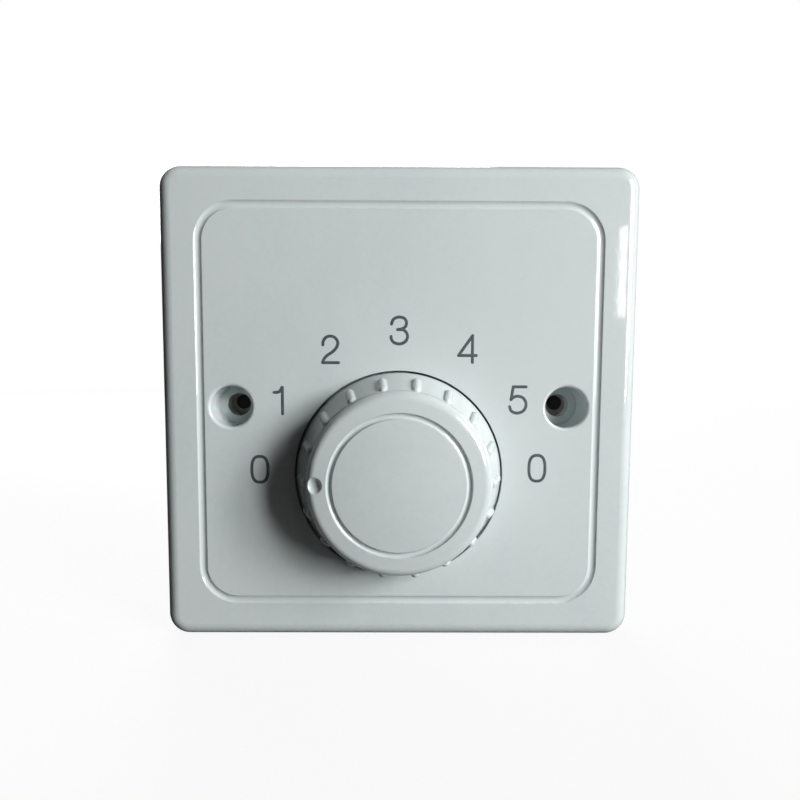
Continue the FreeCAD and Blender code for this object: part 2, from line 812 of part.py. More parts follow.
def switch_shaft():
    """The spindle: flatted front end, groove for its clip, shoulder and flatted rear end."""
    body = new_body("switch_shaft", z="-knob_drop")
    tip = "crown_inside + shaft_tip_gap"
    sketch = new_sketch(body, "ShaftProfile", role="XY_Plane")
    corners = [
        ("0", tip),
        ("shaft_dia / 2", tip),
        ("shaft_dia / 2", "circlip_front - press_gap"),
        ("circlip_core / 2", "circlip_front - press_gap"),
        ("circlip_core / 2", "circlip_back + press_gap"),
        ("shaft_dia / 2", "circlip_back + press_gap"),
        ("shaft_dia / 2", "star_front"),
        ("rear_dia / 2", "star_front"),
        ("rear_dia / 2", "wafer_back + shaft_tail"),
        ("0", "wafer_back + shaft_tail"),
    ]
    outline(sketch, corners)
    turn(body, sketch)
    sketch = new_sketch(body, "FrontFlat", level="hub_foot")
    rectangle(sketch, "-shaft_dia", "shaft_flat", "shaft_dia", "shaft_dia")
    pocket(body, sketch)
    sketch = new_sketch(body, "RearFlat", level="rotor_back")
    rectangle(sketch, "-shaft_dia", "rear_flat", "shaft_dia", "shaft_dia")
    pocket(body, sketch, "rotor_back - star_front")
    return body


def shaft_circlip():
    """The spring clip that keeps the shaft from sliding back through its bush."""
    body = new_body("shaft_circlip", z="-knob_drop")
    sketch = new_sketch(body, "CirclipRing", level="circlip_back")
    circle(sketch, "0", "0", "circlip_dia / 2")
    circle(sketch, "0", "0", "circlip_core / 2 + press_gap")
    pad(body, sketch, "circlip_thick")
    sketch = new_sketch(body, "CirclipMouth", level="circlip_back")
    rectangle(sketch, "-circlip_mouth / 2", "-circlip_dia", "circlip_mouth / 2", "-press_gap")
    pocket(body, sketch)
    return body


def star_wheel():
    """The detent wheel: a scalloped disc with one finger that meets the stops."""
    body = new_body("star_wheel", z="-knob_drop")
    sketch = new_sketch(body, "StarDisc", level="star_back")
    circle(sketch, "0", "0", "star_dia / 2")
    pad(body, sketch, "star_thick")
    sketch = new_sketch(body, "StarValley", level="star_back")
    circle(sketch, "0", "valley_ring", "valley_radius")
    valley = pocket(body, sketch)
    polar(body, valley, sketch, "360 / detent_angle", axis="N_Axis")
    sketch = new_sketch(body, "StopFinger", level="star_back")
    rectangle(sketch, "-finger_reach", "-finger_width / 2", "-rear_dia", "finger_width / 2")
    pad(body, sketch, "star_thick")
    sketch = new_sketch(body, "StarBore", level="star_back")
    dee(sketch, "rear_dia / 2 + press_gap", "rear_flat + press_gap")
    pocket(body, sketch)
    return body


def switch_rotor():
    """The insulating rotor that carries the wiper on one arm."""
    body = new_body("switch_rotor", z="-knob_drop")
    sketch = new_sketch(body, "RotorDisc", level="rotor_back")
    circle(sketch, "0", "0", "rotor_dia / 2")
    pad(body, sketch, "rotor_thick")
    sketch = new_sketch(body, "RotorArm", level="rotor_back")
    rectangle(sketch, "-arm_reach", "-arm_width / 2", "-rear_dia", "arm_width / 2")
    pad(body, sketch, "rotor_thick")
    sketch = new_sketch(body, "RotorBore", level="rotor_back")
    dee(sketch, "rear_dia / 2 + press_gap", "rear_flat + press_gap")
    pocket(body, sketch)
    return body


def wiper_contact():
    """The bronze strip that bridges the common ring and one live contact."""
    body = new_body("wiper_contact", z="-knob_drop")
    sketch = new_sketch(body, "WiperStrip", level="wiper_back")
    far = "-contact_ring - nose_dia / 2 - wiper_end"
    rectangle(sketch, far, "-wiper_width / 2", "-wiper_start", "wiper_width / 2")
    pad(body, sketch, "wiper_thick")
    sketch = new_sketch(body, "WiperNoses", level="wiper_back")
    circle(sketch, "-contact_ring", "0", "nose_dia / 2")
    circle(sketch, "-common_ring", "0", "nose_dia / 2")
    pad(body, sketch, "nose_height", flip=True)
    return body


# Switch body


def switch_bush():
    """The die-cast switch front: threaded bush, flange, locating lug, stops, pegs and posts."""
    body = new_body("switch_bush", z="-knob_drop")
    sketch = new_sketch(body, "BushProfile", role="XY_Plane")
    corners = [
        ("shaft_dia / 2 + running_gap", "bush_front"),
        ("bush_dia / 2", "bush_front"),
        ("bush_dia / 2", "seat"),
        ("flange_dia / 2", "seat"),
        ("flange_dia / 2", "flange_back"),
        ("shaft_dia / 2 + running_gap", "flange_back"),
    ]
    outline(sketch, corners)
    turn(body, sketch)
    sketch = new_sketch(body, "LocatingLug", level="flange_back")
    circle(sketch, "lug_place", "0", "lug_dia / 2")
    pad(body, sketch, "flange_thick + lug_length")
    sketch = new_sketch(body, "StopPosts", level="star_back - star_gap")
    circle(sketch, "-(stop_side)", "-(stop_drop)", "stop_dia / 2")
    circle(sketch, "stop_side", "-(stop_drop)", "stop_dia / 2")
    pad(body, sketch, "star_back - star_gap - flange_back + flange_thick / 2")
    sketch = new_sketch(body, "SpringPegs", level="star_back")
    circle(sketch, "-peg_x", "-peg_z", "peg_dia / 2")
    circle(sketch, "peg_x", "-peg_z", "peg_dia / 2")
    pad(body, sketch, "star_back - flange_back + flange_thick / 2")
    sketch = new_sketch(body, "WaferPosts", level="wafer_front")
    circle(sketch, "-pillar_place", "0", "post_dia / 2")
    circle(sketch, "pillar_place", "0", "post_dia / 2")
    pad(body, sketch, "wafer_front - flange_back + flange_thick / 2")
    sketch = new_sketch(body, "PostThreads", level="wafer_front")
    circle(sketch, "-pillar_place", "0", "wafer_screw_dia / 2 + press_gap")
    circle(sketch, "pillar_place", "0", "wafer_screw_dia / 2 + press_gap")
    pocket(body, sketch, "wafer_screw_length - wafer_thick + head_height / 2")
    return body


def bush_nut():
    """The hexagon nut on the bush, in the well under the knob."""
    body = new_body("bush_nut", z="-knob_drop")
    sketch = new_sketch(body, "NutHexagon", level="lock_front")
    corners = []
    for step in range(6):
        corners.append(("nut_corner * cos(%d)" % (60 * step), "nut_corner * sin(%d)" % (60 * step)))
    corners[0] = ("nut_corner", "0")
    corners[3] = ("-(nut_corner)", "0")
    outline(sketch, corners)
    circle(sketch, "0", "0", "bush_dia / 2 + press_gap")
    pad(body, sketch, "nut_thick")
    return body


def lock_washer():
    """The toothed washer under the nut."""
    body = new_body("lock_washer", z="-knob_drop")
    sketch = new_sketch(body, "WasherRing", level="well_face")
    circle(sketch, "0", "0", "lock_dia / 2")
    circle(sketch, "0", "0", "bush_dia / 2 + press_gap")
    pad(body, sketch, "lock_thick")
    sketch = new_sketch(body, "WasherNotch", level="well_face")
    rectangle(sketch, "-lock_notch / 2", "lock_dia / 2 - lock_tooth", "lock_notch / 2", "lock_dia")
    notch = pocket(body, sketch)
    polar(body, notch, sketch, "lock_teeth", axis="N_Axis")
    return body


def detent_spring():
    """The leaf spring: an eye round each peg and a round-nosed rise into the star wheel."""
    body = new_body("detent_spring", z="-knob_drop")
    sketch = new_sketch(body, "SpringLeaf", level="star_back")
    inner = "(nose_radius - spring_thick)"
    under = "(spring_level - spring_thick)"
    top_x, top_z = "nose_radius * sin(spring_slope)", "nose_radius * cos(spring_slope) - valley_ring"
    low_x, low_z = inner + " * sin(spring_slope)", inner + " * cos(spring_slope) - valley_ring"
    top_foot = "%s + (%s - spring_level) / tan(spring_slope)" % (top_x, top_z)
    low_foot = "%s + (%s - %s) / tan(spring_slope)" % (low_x, low_z, under)
    right = [
        (top_x, top_z),
        (top_foot, "spring_level"),
        ("peg_x", "spring_level"),
        ("peg_x", under),
        (low_foot, under),
        (low_x, low_z),
    ]
    left = [("-(%s)" % across, along) for across, along in reversed(right)]
    outline(sketch, right + left, {5: inner, 11: "-(nose_radius)"})
    pad(body, sketch, "star_thick")
    sketch = new_sketch(body, "SpringEyes", level="star_back")
    for side in ("-peg_x", "peg_x"):
        circle(sketch, side, "-peg_z", "peg_dia / 2 + running_gap + spring_thick")
        circle(sketch, side, "-peg_z", "peg_dia / 2 + running_gap")
    pad(body, sketch, "star_thick")
    return body


def switch_wafer():
    """The insulating board that holds the contacts and steadies the shaft's tail."""
    body = new_body("switch_wafer", z="-knob_drop")
    sketch = new_sketch(body, "WaferDisc", level="wafer_back")
    circle(sketch, "0", "0", "flange_dia / 2")
    circle(sketch, "0", "0", "rear_dia / 2 + running_gap")
    circle(sketch, "-pillar_place", "0", "wafer_screw_dia / 2 + screw_clear")
    circle(sketch, "pillar_place", "0", "wafer_screw_dia / 2 + screw_clear")
    circle(sketch, "0", "-contact_ring", "tail_dia / 2 + press_gap")
    for step in range(1, 6):
        across, along = contact_place(step)
        circle(sketch, across, along, "contact_shank / 2 + press_gap")
    pad(body, sketch, "wafer_thick")
    return body


def contact_place(step):
    """Where a live contact lies from the shaft's axis: a detent step clockwise for each one."""
    angle = "(180 - detent_angle * %d)" % step
    return "contact_ring * cos%s" % angle, "contact_ring * sin%s" % angle


def tap_contact(step):
    """One live contact: domed head, shank through the wafer, collar and solder tail."""
    across, along = contact_place(step)
    body = new_body("tap_contact_%d" % step, x=across, z=along + " - knob_drop")
    sketch = new_sketch(body, "ContactProfile%d" % step, role="XY_Plane")
    corners = [
        ("0", "contact_face"),
        ("contact_dia / 2", "contact_face"),
        ("contact_dia / 2", "wafer_front"),
        ("contact_shank / 2", "wafer_front"),
        ("contact_shank / 2", "wafer_back"),
        ("contact_collar / 2", "wafer_back"),
        ("contact_collar / 2", "wafer_back + collar_thick"),
        ("tail_dia / 2", "wafer_back + collar_thick"),
        ("tail_dia / 2", "tail_end"),
        ("0", "tail_end"),
    ]
    outline(sketch, corners)
    turn(body, sketch)
    return body


def common_contact():
    """The ring that the wiper always touches, with a lug and a solder tail."""
    body = new_body("common_contact", z="-knob_drop")
    sketch = new_sketch(body, "CommonRing", level="wafer_front")
    circle(sketch, "0", "0", "common_ring + common_width / 2")
    circle(sketch, "0", "0", "common_ring - common_width / 2")
    pad(body, sketch, "contact_head")
    sketch = new_sketch(body, "CommonLug", level="wafer_front")
    low = "-contact_ring - common_lug / 2"
    rectangle(sketch, "-common_lug / 2", low, "common_lug / 2", "-common_ring")
    pad(body, sketch, "contact_head")
    sketch = new_sketch(body, "CommonTail", level="wafer_front")
    circle(sketch, "0", "-contact_ring", "tail_dia / 2")
    pad(body, sketch, "tail_end - wafer_front", flip=True)
    return body


# Choke


def choke_core_e():
    """The stacked laminations: a yoke along the top with two outer legs and the tongue."""
    body = new_body("choke_core_e")
    sketch = new_sketch(body, "CoreOutline", level="stack_back")
    outer, window, tongue = "core_half", "core_half - leg_width", "tongue_width / 2"
    corners = [
        ("-(%s)" % outer, "window_base"),
        ("-(%s)" % window, "window_base"),
        ("-(%s)" % window, "window_top"),
        ("-(%s)" % tongue, "window_top"),
        ("-(%s)" % tongue, "window_base"),
        (tongue, "window_base"),
        (tongue, "window_top"),
        (window, "window_top"),
        (window, "window_base"),
        (outer, "window_base"),
        (outer, "core_top"),
        ("-(%s)" % outer, "core_top"),
    ]
    outline(sketch, corners)
    pad(body, sketch, "stack")
    return body


def choke_core_i():
    """The straight laminations that close the core along the bottom."""
    body = new_body("choke_core_i")
    sketch = new_sketch(body, "BarOutline", level="stack_back")
    rectangle(sketch, "-(core_half)", "core_base", "core_half", "window_base")
    pad(body, sketch, "stack")
    return body


def around_tongue(body, name, level, half_x, half_y, corner=None):
    """A rectangle about the tongue in a level plane."""
    sketch = new_sketch(body, name, role="XY_Plane", level=level)
    left, right = "-(%s)" % half_x, half_x
    front, back = "choke_y - (%s)" % half_y, "choke_y + %s" % half_y
    if corner:
        rounded(sketch, left, front, right, back, corner)
    else:
        rectangle(sketch, left, front, right, back)
    return sketch


def choke_bobbin():
    """The moulded former: a square tube over the tongue with a flange at each end."""
    body = new_body("choke_bobbin")
    base, top = "window_base + slot_gap", "window_top - slot_gap"
    sketch = around_tongue(body, "FormerTube", base, "tube_half_x", "tube_half_y")
    pad(body, sketch, "window_height - 2 * slot_gap")
    sketch = around_tongue(body, "LowerFlange", base, "flange_half_x", "flange_half_y")
    pad(body, sketch, "bobbin_flange")
    sketch = around_tongue(body, "UpperFlange", top, "flange_half_x", "flange_half_y")
    pad(body, sketch, "bobbin_flange", flip=True)
    hole_x, hole_y = "tongue_width / 2 + slot_gap", "stack / 2 + slot_gap"
    sketch = around_tongue(body, "FormerHole", base, hole_x, hole_y)
    pocket(body, sketch)
    return body


def choke_winding():
    """The enamelled wire, wound between the former's flanges."""
    body = new_body("choke_winding")
    sketch = around_tongue(
        body, "WoundOutside", "wound_base", "wound_half_x", "wound_half_y", "winding_corner"
    )
    pad(body, sketch, "wound_top - wound_base")
    sketch = around_tongue(body, "WoundInside", "wound_base", "tube_half_x", "tube_half_y")
    pocket(body, sketch)
    return body


def winding_tape():
    """The tape wrapped round the winding."""
    body = new_body("winding_tape")
    sketch = around_tongue(
        body,
        "TapeOutside",
        "wound_base",
        "wound_half_x + tape_thick",
        "wound_half_y + tape_thick",
        "winding_corner",
    )
    pad(body, sketch, "wound_top - wound_base")
    sketch = around_tongue(
        body, "TapeInside", "wound_base", "wound_half_x", "wound_half_y", "winding_corner"
    )
    pocket(body, sketch)
    return body


def choke_frame():
    """The pressed clamp: a windowed web over the core, two side legs and two screw feet."""
    body = new_body("choke_frame")
    front = "stack_front - strap_thick"
    sketch = new_sketch(body, "ClampWeb", level="stack_front")
    rectangle(sketch, "-(strap_outer)", "core_base", "strap_outer", "core_top")
    inner = "core_half - leg_width"
    rectangle(sketch, "-(%s)" % inner, "window_base", inner, "window_top")
    pad(body, sketch, "strap_thick")
    low, high = "choke_z - strap_height / 2", "choke_z + strap_height / 2"
    sketch = new_sketch(body, "ClampLegs", level="housing_inside")
    rectangle(sketch, "strap_inner", low, "strap_outer", high)
    rectangle(sketch, "-(strap_outer)", low, "-(strap_inner)", high)
    pad(body, sketch, "housing_inside - (%s)" % front)
    sketch = new_sketch(body, "ClampFeet", level="housing_inside")
    rectangle(sketch, "strap_outer - foot_reach", low, "strap_outer", high)
    rectangle(sketch, "-(strap_outer)", low, "foot_reach - (strap_outer)", high)
    pad(body, sketch, "strap_thick")
    sketch = new_sketch(body, "FootHoles", level="housing_inside")
    circle(sketch, "foot_x", "choke_z", "choke_screw_dia / 2 + press_gap")
    circle(sketch, "-(foot_x)", "choke_z", "choke_screw_dia / 2 + press_gap")
    pocket(body, sketch, "strap_thick")
    return body


# Rear housing and terminals


def rear_housing():
    """The moulded box behind the plate, with ears, vents and the terminal opening."""
    body = new_body("rear_housing")
    wall = "housing_wall"
    sketch = new_sketch(body, "BoxOutline", level="housing_back")
    rounded(
        sketch, "-(housing_half)", "housing_base", "housing_half", "housing_top", "housing_corner"
    )
    box = pad(body, sketch, "housing_back - seat")
    rear = value("housing_back")
    round_edges(body, box, lambda edge: at_level(edge, rear), "housing_edge")
    sketch = new_sketch(body, "EarTabs", level="tapping_top")
    root = "housing_half - housing_wall / 2"
    for end in ("boss_base", "boss_top"):
        low, high = end + " - ear_dia / 2", end + " + ear_dia / 2"
        rectangle(sketch, root, low, "boss_x", high)
        rectangle(sketch, "-(boss_x)", low, "-(%s)" % root, high)
    pad(body, sketch, "ear_thick")
    sketch = new_sketch(body, "EarEnds", level="tapping_top")
    for side in ("-(boss_x)", "boss_x"):
        for end in ("boss_base", "boss_top"):
            circle(sketch, side, end, "ear_dia / 2")
    pad(body, sketch, "ear_thick")
    sketch = new_sketch(body, "BoxHollow", level="housing_inside")
    rounded(
        sketch,
        "%s - (housing_half)" % wall,
        "housing_base + " + wall,
        "housing_half - " + wall,
        "housing_top - " + wall,
        "housing_corner - " + wall,
    )
    pocket(body, sketch)
    sketch = new_sketch(body, "EarHoles", level="tapping_top")
    for side in ("-(boss_x)", "boss_x"):
        for end in ("boss_base", "boss_top"):
            circle(sketch, side, end, "tapping_dia / 2 + screw_clear")
    pocket(body, sketch)
    sketch = new_sketch(body, "RearHoles", level="housing_back")
    circle(sketch, "foot_x", "choke_z", "choke_screw_dia / 2 + screw_clear")
    circle(sketch, "-(foot_x)", "choke_z", "choke_screw_dia / 2 + screw_clear")
    half = "(block_width / 2 - block_step + opening_gap)"
    low, high = "block_base", "block_top + opening_gap"
    rectangle(sketch, "-" + half, low, half, high)
    pocket(body, sketch, wall)
    sketch = new_sketch(body, "WireEntry", role="XY_Plane", level="housing_base")
    half = "(terminal_x + wire_hole / 2 + entry_side)"
    reach = "(wire_hole / 2 + entry_margin)"
    low, high = "clamp_y - " + reach, "clamp_y + " + reach
    rounded(sketch, "-" + half, low, half, high, "entry_corner")
    pocket(body, sketch, wall)
    sketch = new_sketch(body, "RearVent", level="housing_back")
    left = "-vent_pitch * (vent_count - 1) / 2 - vent_width / 2"
    low, high = "choke_z - vent_length / 2", "choke_z + vent_length / 2"
    rectangle(sketch, left, low, left + " + vent_width", high)
    vent = pocket(body, sketch, wall)
    row_of(body, vent, sketch, "vent_pitch * (vent_count - 1)", "vent_count")
    return body


def terminal_block():
    """The moulded block: two cavities open at the top, wire entries below, driver holes behind."""
    body = new_body("terminal_block")
    half, nose = "block_width / 2", "block_width / 2 - block_step"
    sketch = new_sketch(body, "BlockBody", level="housing_inside")
    rectangle(sketch, "-" + half, "block_base", half, "block_top")
    pad(body, sketch, "block_length")
    sketch = new_sketch(body, "BlockNose", level="block_back")
    rectangle(sketch, "-(%s)" % nose, "block_base + housing_wall", nose, "block_top")
    pad(body, sketch, "block_back - housing_inside")
    sketch = new_sketch(body, "ClampCavities", role="XY_Plane", level="clamp_base")
    front = "clamp_y - clamp_length / 2 - clamp_gap"
    back = "clamp_y + clamp_length / 2 + clamp_gap"
    reach = "(clamp_width / 2 + clamp_gap)"
    for side in ("-terminal_x", "terminal_x"):
        rectangle(sketch, "%s - %s" % (side, reach), front, "%s + %s" % (side, reach), back)
    pocket(body, sketch)
    sketch = new_sketch(body, "BlockEntries", role="XY_Plane", level="block_base")
    circle(sketch, "-terminal_x", "clamp_y", "wire_hole / 2")
    circle(sketch, "terminal_x", "clamp_y", "wire_hole / 2")
    pocket(body, sketch, "block_floor")
    sketch = new_sketch(body, "DriverHoles", level="block_back")
    circle(sketch, "-terminal_x", "clamp_z", "driver_hole / 2")
    circle(sketch, "terminal_x", "clamp_z", "driver_hole / 2")
    pocket(body, sketch, "block_back - clamp_rear")
    return body


def terminal_clamp(label, side):
    """A brass tunnel clamp: wire bore from below, threaded bore from behind and a solder tab."""
    body = new_body(label, x=side)
    mark = label.title().replace("_", "")
    sketch = new_sketch(body, mark + "Block", level="clamp_rear")
    rectangle(sketch, "-clamp_width / 2", "clamp_base", "clamp_width / 2", "clamp_top")
    pad(body, sketch, "clamp_length")
    sketch = new_sketch(body, mark + "Tab", level="clamp_y + tab_thick / 2")
    rectangle(sketch, "-tab_width / 2", "clamp_top - tab_thick", "tab_width / 2", "tab_top")
    pad(body, sketch, "tab_thick")
    sketch = new_sketch(body, mark + "Bore", role="XY_Plane", level="clamp_base")
    circle(sketch, "0", "clamp_y", "wire_bore / 2")
    pocket(body, sketch, "wire_depth")
    sketch = new_sketch(body, mark + "Thread", level="clamp_rear")
    circle(sketch, "0", "clamp_z", "clamp_screw_dia / 2 + press_gap")
    pocket(body, sketch, "clamp_length / 2")
    return body


# Groups of like pieces, and leads


def solid_group(label, shape):
    """Separate solids that share one node."""
    group = doc.addObject("Part::Feature", label)
    group.Label = label
    group.Shape = shape
    group.Placement = FreeCAD.Placement()
    return group


def slotted_screw(head_dia, head_height, shank_dia, length, place, towards):
    """A screw whose head sits at a place, with its shank pointing along towards."""
    head = Part.makeCylinder(value(head_dia) / 2, value(head_height))
    rims = [edge for edge in head.Edges if edge.Curve.TypeId == "Part::GeomCircle"]
    top = max(rims, key=lambda edge: edge.BoundBox.ZMax)
    head = head.makeFillet(value(head_height) * value("head_round"), [top])
    shank = Part.makeCylinder(value(shank_dia) / 2, value(length), Vector(0, 0, -value(length)))
    slot = Part.makeBox(value(head_dia), value("slot_width"), value("slot_depth"))
    slot.translate(
        Vector(
            -value(head_dia) / 2,
            -value("slot_width") / 2,
            value(head_height) - value("slot_depth"),
        )
    )
    screw = head.fuse(shank).cut(slot).removeSplitter()
    screw.Placement = FreeCAD.Placement(place, Rotation(Vector(0, 0, -1), towards))
    return screw


def point(x, y, z):
    """A place in space from three expressions."""
    return Vector(value(x), value(y), value(z))


def housing_screws():
    """The four screws through the housing's ears into the plate's bosses."""
    screws = []
    for side in ("-(boss_x)", "boss_x"):
        for end in ("boss_base", "boss_top"):
            place = point(side, "tapping_top", end)
            screws.append(
                slotted_screw(
                    "head_dia", "head_height", "tapping_dia", "tapping_length", place, Vector(0, -1, 0)
                )
            )
    return solid_group("housing_screws", Part.makeCompound(screws))


def wafer_screws():
    """The two screws that hold the wafer on its posts."""
    screws = []
    for side in ("-pillar_place", "pillar_place"):
        place = point(side, "wafer_back", "-knob_drop")
        screws.append(
            slotted_screw(
                "wafer_head_dia",
                "head_height",
                "wafer_screw_dia",
                "wafer_screw_length",
                place,
                Vector(0, -1, 0),
            )
        )
    return solid_group("wafer_screws", Part.makeCompound(screws))


def choke_screws():
    """The two screws through the housing's back into the clamp's feet."""
    screws = []
    for side in ("-(foot_x)", "foot_x"):
        place = point(side, "housing_back", "choke_z")
        screws.append(
            slotted_screw(
                "head_dia",
                "head_height",
                "choke_screw_dia",
                "choke_screw_length",
                place,
                Vector(0, -1, 0),
            )
        )
    return solid_group("choke_screws", Part.makeCompound(screws))


def terminal_screws():
    """The two clamp screws, deep in the driver holes."""
    screws = []
    for side in ("-terminal_x", "terminal_x"):
        place = point(side, "clamp_rear + backed_off", "clamp_z")
        screws.append(
            slotted_screw(
                "clamp_head_dia",
                "clamp_head_height",
                "clamp_screw_dia",
                "backed_off + clamp_length / 2 - wire_bore / 2 - bush_gap",
                place,
                Vector(0, -1, 0),
            )
        )
    return solid_group("terminal_screws", Part.makeCompound(screws))


def pin_x(number):
    """Where one of the former's pins stands across the choke, counted from the left."""
    return "pin_pitch * (%d - tap_count / 2)" % number


def bobbin_pins():
    """The pins under the former's rear edge, one for each tap and one for the load."""
    pins = []
    for number in range(TAPS + 1):
        foot = point(pin_x(number), "pin_y", "pin_end")
        pins.append(Part.makeCylinder(value("pin_dia / 2"), value("pin_length"), foot))
    return solid_group("bobbin_pins", Part.makeCompound(pins))


def lead(label, route):
    """An insulated lead along straight runs joined by tangent arcs."""
    edges = []
    start = route[0]
    radii = []
    for number in range(1, len(route) - 1):
        corner = route[number]
        back = route[number - 1] - corner
        ahead = route[number + 1] - corner
        turn_angle = math.pi - back.getAngle(ahead)
        shorter = min(back.Length, ahead.Length)
        trim = value("bend_share") * shorter
        radii.append(trim / math.tan(turn_angle / 2))
        back.normalize()
        ahead.normalize()
        enter = corner + back * trim
        leave = corner + ahead * trim
        middle_way = (back + ahead).normalize()
        offset = radii[-1] / math.cos(turn_angle / 2) - radii[-1]
        middle = corner + middle_way * offset
        edges.append(Part.LineSegment(start, enter).toShape())
        edges.append(Part.Arc(enter, middle, leave).toShape())
        start = leave
    edges.append(Part.LineSegment(start, route[-1]).toShape())
    path = Part.Wire(edges)
    radius = value("lead_dia / 2")
    section = Part.Wire(Part.Circle(route[0], route[1] - route[0], radius).toShape())
    tube = path.makePipeShell([section], True, False)
    expected = math.pi * radius ** 2 * path.Length
    if abs(tube.Volume - expected) > 0.01 * expected:
        raise RuntimeError("%s has volume %.2f, not %.2f" % (label, tube.Volume, expected))
    print(label, "radii", [round(one, 2) for one in radii], "length", round(path.Length, 1))
    return solid_group(label, tube)


def tap_lead(step):
    """The lead from one live contact back and up to its pin on the choke."""
    across, along = contact_place(step)
    start = point(across, "tail_end", along + " - knob_drop")
    end = point(pin_x(step - 1), "pin_y", "pin_end")
    bend = Vector(start.x, (start.y + end.y) / 2, start.z)
    rise = Vector(end.x, end.y, start.z + (end.z - start.z) / 3)
    return lead("tap_lead_%d" % step, [start, bend, rise, end])


def feed_lead():
    """The lead from the common contact up and over to the supply terminal."""
    start = point("0", "tail_end", "-knob_drop - contact_ring")
    end = point("-terminal_x", "clamp_y", "tab_top")
    span = end - start
    clear = start + Vector(0, span.y * value("feed_straight"), 0)
    low = start + Vector(span.x * value("feed_low_x"), span.y * value("feed_low_y"), 0)
    low.z = end.z + value("feed_low_rise")
    high = start + Vector(span.x * value("feed_high_x"), span.y * value("feed_high_y"), 0)
    high.z = end.z + value("feed_high_rise")
    above = end + Vector(0, 0, value("feed_drop"))
    route = [start, clear, low, high, above, end]
    return lead("feed_lead", route)


def return_lead():
    """The lead from the choke's last pin down to the load terminal."""
    start = point(pin_x(TAPS), "pin_y", "pin_end")
    end = point("terminal_x", "clamp_y", "tab_top")
    drop = start - end
    route = [
        start,
        end + Vector(drop.x, drop.y, drop.z * value("return_high")),
        end + Vector(0, 0, drop.z * value("return_low")),
        end,
    ]
    return lead("return_lead", route)


def build():
    """Every piece, in the order it goes together."""
    pieces = [front_plate(), knob(), knob_spring_clip(), switch_shaft(), shaft_circlip()]
    pieces += [star_wheel(), switch_rotor(), wiper_contact(), switch_bush(), bush_nut()]
    pieces += [lock_washer(), detent_spring(), switch_wafer(), wafer_screws()]
    pieces += [tap_contact(step) for step in range(1, TAPS + 1)]
    pieces += [common_contact(), choke_core_e(), choke_core_i(), choke_bobbin()]
    pieces += [choke_winding(), winding_tape(), bobbin_pins(), choke_frame(), choke_screws()]
    pieces += [rear_housing(), housing_screws(), terminal_block(), terminal_screws()]
    pieces += [
        terminal_clamp("terminal_clamp_left", "-terminal_x"),
        terminal_clamp("terminal_clamp_right", "terminal_x"),
    ]
    pieces += [tap_lead(step) for step in range(1, TAPS + 1)]
    pieces += [feed_lead(), return_lead()]
    return pieces


def check(pieces):
    """Stop if any object failed, or any piece's shape is missing or broken."""
    doc.recompute()
    for item in doc.Objects:
        if "Invalid" in item.State or "Error" in item.State:
            raise RuntimeError("%s failed: %s" % (item.Label, item.State))
    for piece in pieces:
        if piece.Shape.isNull() or not piece.Shape.isValid():
            raise RuntimeError("%s has no sound shape" % piece.Label)


def write(pieces):
    """One STEP file for each piece."""
    os.makedirs("parts", exist_ok=True)
    for piece in pieces:
        piece.Shape.exportStep("parts/%s.step" % piece.Label)


parts = build()
check(parts)
write(parts)
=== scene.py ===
"""Gives a fan speed switch its finishes, its dial print and its studio stage."""

import json
import math

import bmesh
import bpy
from bpy.props import FloatProperty, FloatVectorProperty, IntProperty, PointerProperty
from mathutils import Matrix, Vector


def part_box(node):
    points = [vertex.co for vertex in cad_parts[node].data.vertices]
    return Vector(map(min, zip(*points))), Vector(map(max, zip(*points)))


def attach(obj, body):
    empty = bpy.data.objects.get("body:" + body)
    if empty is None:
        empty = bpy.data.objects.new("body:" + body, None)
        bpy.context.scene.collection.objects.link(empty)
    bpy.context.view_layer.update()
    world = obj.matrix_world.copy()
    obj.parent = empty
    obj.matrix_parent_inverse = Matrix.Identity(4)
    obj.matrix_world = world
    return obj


bl_info = {
    "name": "Fan speed switch",
    "version": (1, 0, 0),
    "blender": (4, 5, 0),
    "location": "View3D > Sidebar > Fan switch",
    "description": "Finishes, dial print and stage for a rotary fan speed switch",
    "category": "Object",
}

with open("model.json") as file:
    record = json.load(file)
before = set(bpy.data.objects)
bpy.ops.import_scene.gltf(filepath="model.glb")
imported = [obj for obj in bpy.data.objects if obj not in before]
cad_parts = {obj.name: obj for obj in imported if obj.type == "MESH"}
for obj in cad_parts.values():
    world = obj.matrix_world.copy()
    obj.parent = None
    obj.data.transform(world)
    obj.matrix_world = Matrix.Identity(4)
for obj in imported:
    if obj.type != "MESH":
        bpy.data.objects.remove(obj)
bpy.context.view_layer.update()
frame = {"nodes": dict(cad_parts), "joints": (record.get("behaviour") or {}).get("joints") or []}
PLATE_LOW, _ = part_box("front_plate")
PLATE_FACE = PLATE_LOW.y
KNOB_AXIS = Vector(frame["joints"][0]["pos_m"])
DETENT = math.radians(30)
HOLE_PITCH = 0.0603

# Lengths in metres
MOULDED_EDGE = 0.00022
ORANGE_PEEL = 0.000008
HUB_PLAIN = 0.0019
HUB_BLEND = 0.0022
FLOOR_DROP = 0.00002
FLOOR_RADIUS = 1.6
FLOOR_GLOW_NEAR = 0.2
FLOOR_GLOW_FAR = 1.2
LUG_RADIUS = 0.0024
LUG_DEPTH = 0.0001
# Near-black discs of painted shade: one just behind the lug, one on it where its bore is
BACK_SHADE_DEPTH = 0.00016
BORE_SHADE_RADIUS = 0.0014
BORE_SHADE_OFFSET = (0.0002, 0.00006, 0.0003)
WINDOW_PLACE = (0.462, -0.338, 0.158)
PANE_SIZE = (0.112, 0.34)
PANE_ASIDE = 0.066
PANE_DROP = 0.03
STRIP_PLACE = (0.233, -0.463, 0.099)
STRIP_AIM = (0.0395, 0.024)
STRIP_SIZE = (0.0065, 0.09)
BACK_PLACE = (-0.2, 0.62, 0.4)
BACK_AIM = (0, 0.01, 0)
BACK_SIZE = (0.7, 0.5)
NEAREST = 0.002
FARTHEST = 20

